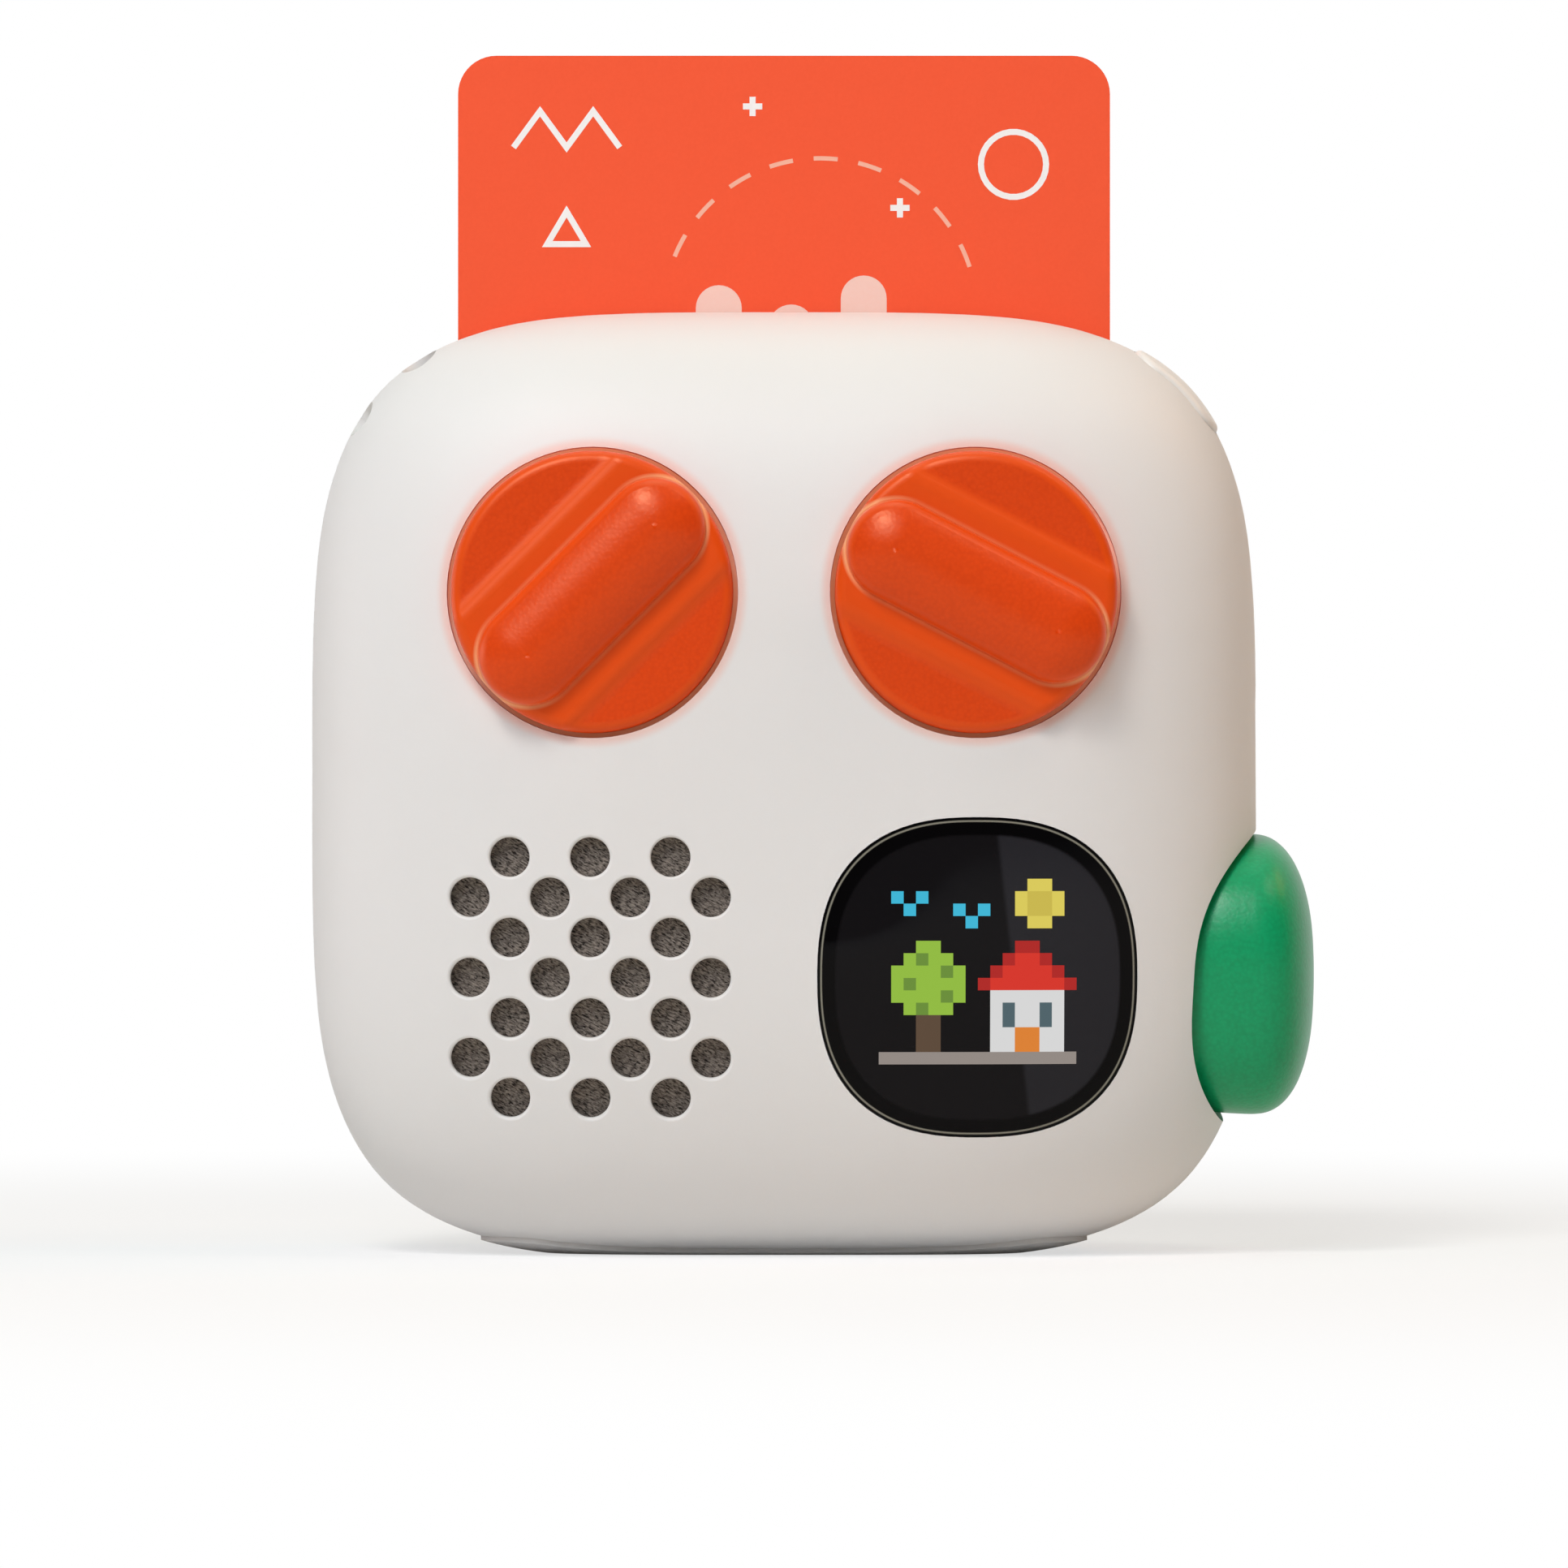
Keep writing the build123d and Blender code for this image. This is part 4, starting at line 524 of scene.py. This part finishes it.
for mark in lamp_kinds:
    lit, tree = empty_material("lit_lamp_" + lamp_colours[mark][1:])
    skin = add_node(tree, "ShaderNodeBsdfPrincipled", {
        "Base Color": linear("#050505"), "Roughness": 0.03, "IOR": 1.49, "Specular IOR Level": 0.08,
        "Emission Color": linear(lamp_colours[mark]), "Emission Strength": 0.97})
    add_node(tree, "ShaderNodeOutputMaterial", {"Surface": skin.outputs[0]})
    lamps.data.materials.append(lit)
lamps.data.polygons.foreach_set("material_index", lamp_marks)
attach(lamps, "root")

# ------------------------------------------------------------------ side button
# A domed push button in green ABS, etched with the knobs' leather grain all over.
green_abs, tree = empty_material("leather_grained_green_abs")
place = add_node(tree, "ShaderNodeTexCoord").outputs["Object"]
leather = leather_grain(tree, place).outputs[0]
tone = add_node(tree, "ShaderNodeMix", {0: leather, 6: linear("#00935a"), 7: linear("#009e63")},
                data_type="RGBA")
raised = add_node(tree, "ShaderNodeBump", {"Height": leather, "Strength": 0.6, "Distance": leather_depth})
skin = add_node(tree, "ShaderNodeBsdfPrincipled", {
    "Base Color": tone.outputs[2], "Roughness": 0.36, "IOR": 1.53, "Specular IOR Level": 0.3,
    "Normal": raised.outputs[0]})
add_node(tree, "ShaderNodeOutputMaterial", {"Surface": skin.outputs[0]})
nodes["side_button"].material_slots[0].material = green_abs

# ------------------------------------------------------------------ corner button
# A small pill of cream ABS in the top right corner, smoother than the shell round it.
cream_abs, tree = empty_material("satin_cream_abs")
place = add_node(tree, "ShaderNodeTexCoord").outputs["Object"]
grain = add_node(tree, "ShaderNodeTexNoise", {"Vector": place, "Scale": 1 / grain_width, "Detail": 2.0})
tone = add_node(tree, "ShaderNodeMix", {
    0: grain.outputs["Fac"], 6: linear("#ebe5dd"), 7: linear("#efeae3")}, data_type="RGBA")
raised = add_node(tree, "ShaderNodeBump", {"Height": grain.outputs["Fac"], "Strength": 0.2,
                                           "Distance": grain_depth})
skin = add_node(tree, "ShaderNodeBsdfPrincipled", {
    "Base Color": tone.outputs[2], "Roughness": 0.4, "IOR": 1.53, "Normal": raised.outputs[0]})
add_node(tree, "ShaderNodeOutputMaterial", {"Surface": skin.outputs[0]})
nodes["corner_button"].material_slots[0].material = cream_abs

# ------------------------------------------------------------------ story card
# A plastic card the size of a bank card, printed flat orange and laminated, with a pale core
# that shows at its edge. Its print is a plain pattern of strokes, dashes and bars.
card_print, tree = empty_material("laminated_print_on_pvc")
place = add_node(tree, "ShaderNodeTexCoord").outputs["Object"]
speckle = add_node(tree, "ShaderNodeTexNoise", {"Vector": place, "Scale": 1 / (0.3 * mm), "Detail": 2.0})
ink = add_node(tree, "ShaderNodeMix", {
    0: speckle.outputs["Fac"], 6: linear("#fb5a35"), 7: linear("#ff5f39")}, data_type="RGBA")
facing = add_node(tree, "ShaderNodeNewGeometry")
turned = add_node(tree, "ShaderNodeSeparateXYZ", {0: facing.outputs["Normal"]})
sideways = add_node(tree, "ShaderNodeMath", {0: turned.outputs["Y"]}, operation="ABSOLUTE")
core = add_node(tree, "ShaderNodeMath", {0: sideways.outputs[0], 1: 0.5}, operation="LESS_THAN")
tone = add_node(tree, "ShaderNodeMix", {0: core.outputs[0], 6: ink.outputs[2], 7: linear("#e6e4e2")},
                data_type="RGBA")
skin = add_node(tree, "ShaderNodeBsdfPrincipled", {
    "Base Color": tone.outputs[2], "Roughness": 0.5, "IOR": 1.5, "Specular IOR Level": 0.18})
add_node(tree, "ShaderNodeOutputMaterial", {"Surface": skin.outputs[0]})
nodes["story_card"].material_slots[0].material = card_print

card_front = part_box("story_card")[0].y
card_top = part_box("story_card")[1].z
ink_proud = 0.01 * mm


def strip(route, width, closed=False):
    """Four-sided faces of even width along a route, mitred where it bends."""
    pairs = []
    last = len(route) - 1
    for index, spot in enumerate(route):
        here = Vector(spot)
        back = Vector(route[index - 1]) if index or closed else 2 * here - Vector(route[1])
        ahead = Vector(route[(index + 1) % len(route)])
        if index == last and not closed:
            ahead = 2 * here - Vector(route[-2])
        leaving = (ahead - here).normalized()
        turned = (here - back).normalized() + leaving
        across = Vector((-turned.y, turned.x)).normalized()
        spread = across * width / 2 / across.dot(Vector((-leaving.y, leaving.x)))
        pairs.append((here + spread, here - spread))
    if closed:
        pairs.append(pairs[0])
    return [(a, b, d, c) for (a, b), (c, d) in zip(pairs, pairs[1:])]


def arc(centre, radius, start, end, steps):
    """Points along a circle between two angles in degrees."""
    turns = [radians(start + (end - start) * step / steps) for step in range(steps + 1)]
    return [(centre[0] + radius * cos(turn), centre[1] + radius * sin(turn)) for turn in turns]


def printed_shapes(name, shapes, colour):
    """Flat shapes of one ink on the card's front, in mm from the middle of its top edge."""
    points, faces = [], []
    for shape in shapes:
        faces.append(range(len(points), len(points) + len(shape)))
        points += [(x * mm, card_front - ink_proud, card_top + z * mm) for x, z in shape]
    piece = mesh_piece(name, points, faces)
    ink, tree = empty_material("screen_ink_" + colour[1:])
    place = add_node(tree, "ShaderNodeTexCoord").outputs["Object"]
    speckle = add_node(tree, "ShaderNodeTexNoise", {
        "Vector": place, "Scale": 1 / (0.25 * mm), "Detail": 2.0})
    tone = add_node(tree, "ShaderNodeMix", {0: speckle.outputs["Fac"], 6: linear(colour), 7: (1, 1, 1, 1)},
                    data_type="RGBA")
    tone = add_node(tree, "ShaderNodeMix", {0: 0.9, 6: tone.outputs[2], 7: linear(colour)},
                    data_type="RGBA")
    skin = add_node(tree, "ShaderNodeBsdfPrincipled", {"Base Color": tone.outputs[2], "Roughness": 0.42,
                                                       "IOR": 1.5})
    add_node(tree, "ShaderNodeOutputMaterial", {"Surface": skin.outputs[0]})
    piece.data.materials.append(ink)
    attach(piece, "card")


stroke = 0.5
cross_arm = 0.8
strokes = strip([(-22.4, -7.6), (-20.2, -4.6), (-18.0, -7.6), (-15.8, -4.6), (-13.6, -7.6)], stroke)
strokes += strip(arc((19.0, -9.0), 2.7, 0, 348, 29), stroke, closed=True)
strokes += strip([(-19.6, -15.6), (-16.4, -15.6), (-18.0, -12.9)], stroke, closed=True)
for x, z in ((-2.6, -4.2), (9.6, -12.6)):
    strokes += [((x - cross_arm, z - stroke / 2), (x + cross_arm, z - stroke / 2),
                 (x + cross_arm, z + stroke / 2), (x - cross_arm, z + stroke / 2))]
    for way in (-1, 1):
        strokes += [((x - stroke / 2, z + way * stroke / 2), (x + stroke / 2, z + way * stroke / 2),
                     (x + stroke / 2, z + way * cross_arm), (x - stroke / 2, z + way * cross_arm))]
printed_shapes("card_strokes", strokes, "#fdf8f4")

hill_radius = 13.0
dash_turn = 8.8                          # degrees
dashes = []
for step in range(9):
    start = 158 - step * 16.4
    dashes += strip(arc((3.0, -21.5), hill_radius, start, start - dash_turn, 6), 0.36)
printed_shapes("card_dashes", dashes, "#ffb497")

bar_half = 1.9
bars = []
for x, top in ((-5.4, -19.0), (0.6, -20.6), (6.6, -18.2)):
    bars.append(arc((x, top - bar_half), bar_half, 0, 180, 16) + arc((x, -36.0), bar_half, 180, 360, 16))
printed_shapes("card_bars", bars, "#fdd0c0")

# ------------------------------------------------------------------ inner pieces
# Everything behind the shells keeps its place and gets the finish of its own material.
# finish, darker and lighter tone, roughness, metal share and speck width in mm
inner_finishes = {
    "soft_rubber": ("closed_cell_foam_rubber", "#232323", "#2e2e2e", 0.9, 0.0, 0.6),
    "black_plastic": ("moulded_black_nylon", "#151515", "#1d1d1d", 0.5, 0.0, 0.4),
    "circuit_board": ("green_solder_mask", "#0d4a2c", "#125a37", 0.35, 0.0, 1.2),
    "display_board": ("black_solder_mask", "#0c0c0e", "#141416", 0.35, 0.0, 1.2),
    "plated_steel": ("zinc_plated_steel", "#b7b6b1", "#c9c8c4", 0.28, 1.0, 0.3),
    "cone_paper": ("pressed_cone_paper", "#1b1a19", "#2a2826", 0.9, 0.0, 0.35),
    "coil_copper": ("enamelled_copper", "#b0623a", "#c47448", 0.3, 1.0, 0.2),
    "battery_wrap": ("heat_shrunk_pvc", "#2f5fa8", "#3668b4", 0.4, 0.0, 2.0),
    "lead_insulation": ("pvc_insulation", "#a31f1c", "#b52823", 0.45, 0.0, 0.8),
    "ribbon_film": ("polyimide_film", "#b8761f", "#c98529", 0.3, 0.0, 1.5),
}
for slot_name, (finish, low_tone, high_tone, roughness, metal, speck) in inner_finishes.items():
    material, tree = empty_material(finish)
    place = add_node(tree, "ShaderNodeTexCoord").outputs["Object"]
    speckle = add_node(tree, "ShaderNodeTexNoise", {
        "Vector": place, "Scale": 1 / (speck * mm), "Detail": 4.0})
    tone = add_node(tree, "ShaderNodeMix", {
        0: speckle.outputs["Fac"], 6: linear(low_tone), 7: linear(high_tone)}, data_type="RGBA")
    raised = add_node(tree, "ShaderNodeBump", {"Height": speckle.outputs["Fac"], "Strength": 0.3,
                                               "Distance": 0.02 * mm})
    skin = add_node(tree, "ShaderNodeBsdfPrincipled", {
        "Base Color": tone.outputs[2], "Roughness": roughness, "Metallic": metal,
        "Normal": raised.outputs[0]})
    add_node(tree, "ShaderNodeOutputMaterial", {"Surface": skin.outputs[0]})
    for cad_piece in nodes.values():
        if cad_piece.material_slots[0].material.name.split(".")[0] == slot_name:
            cad_piece.material_slots[0].material = material
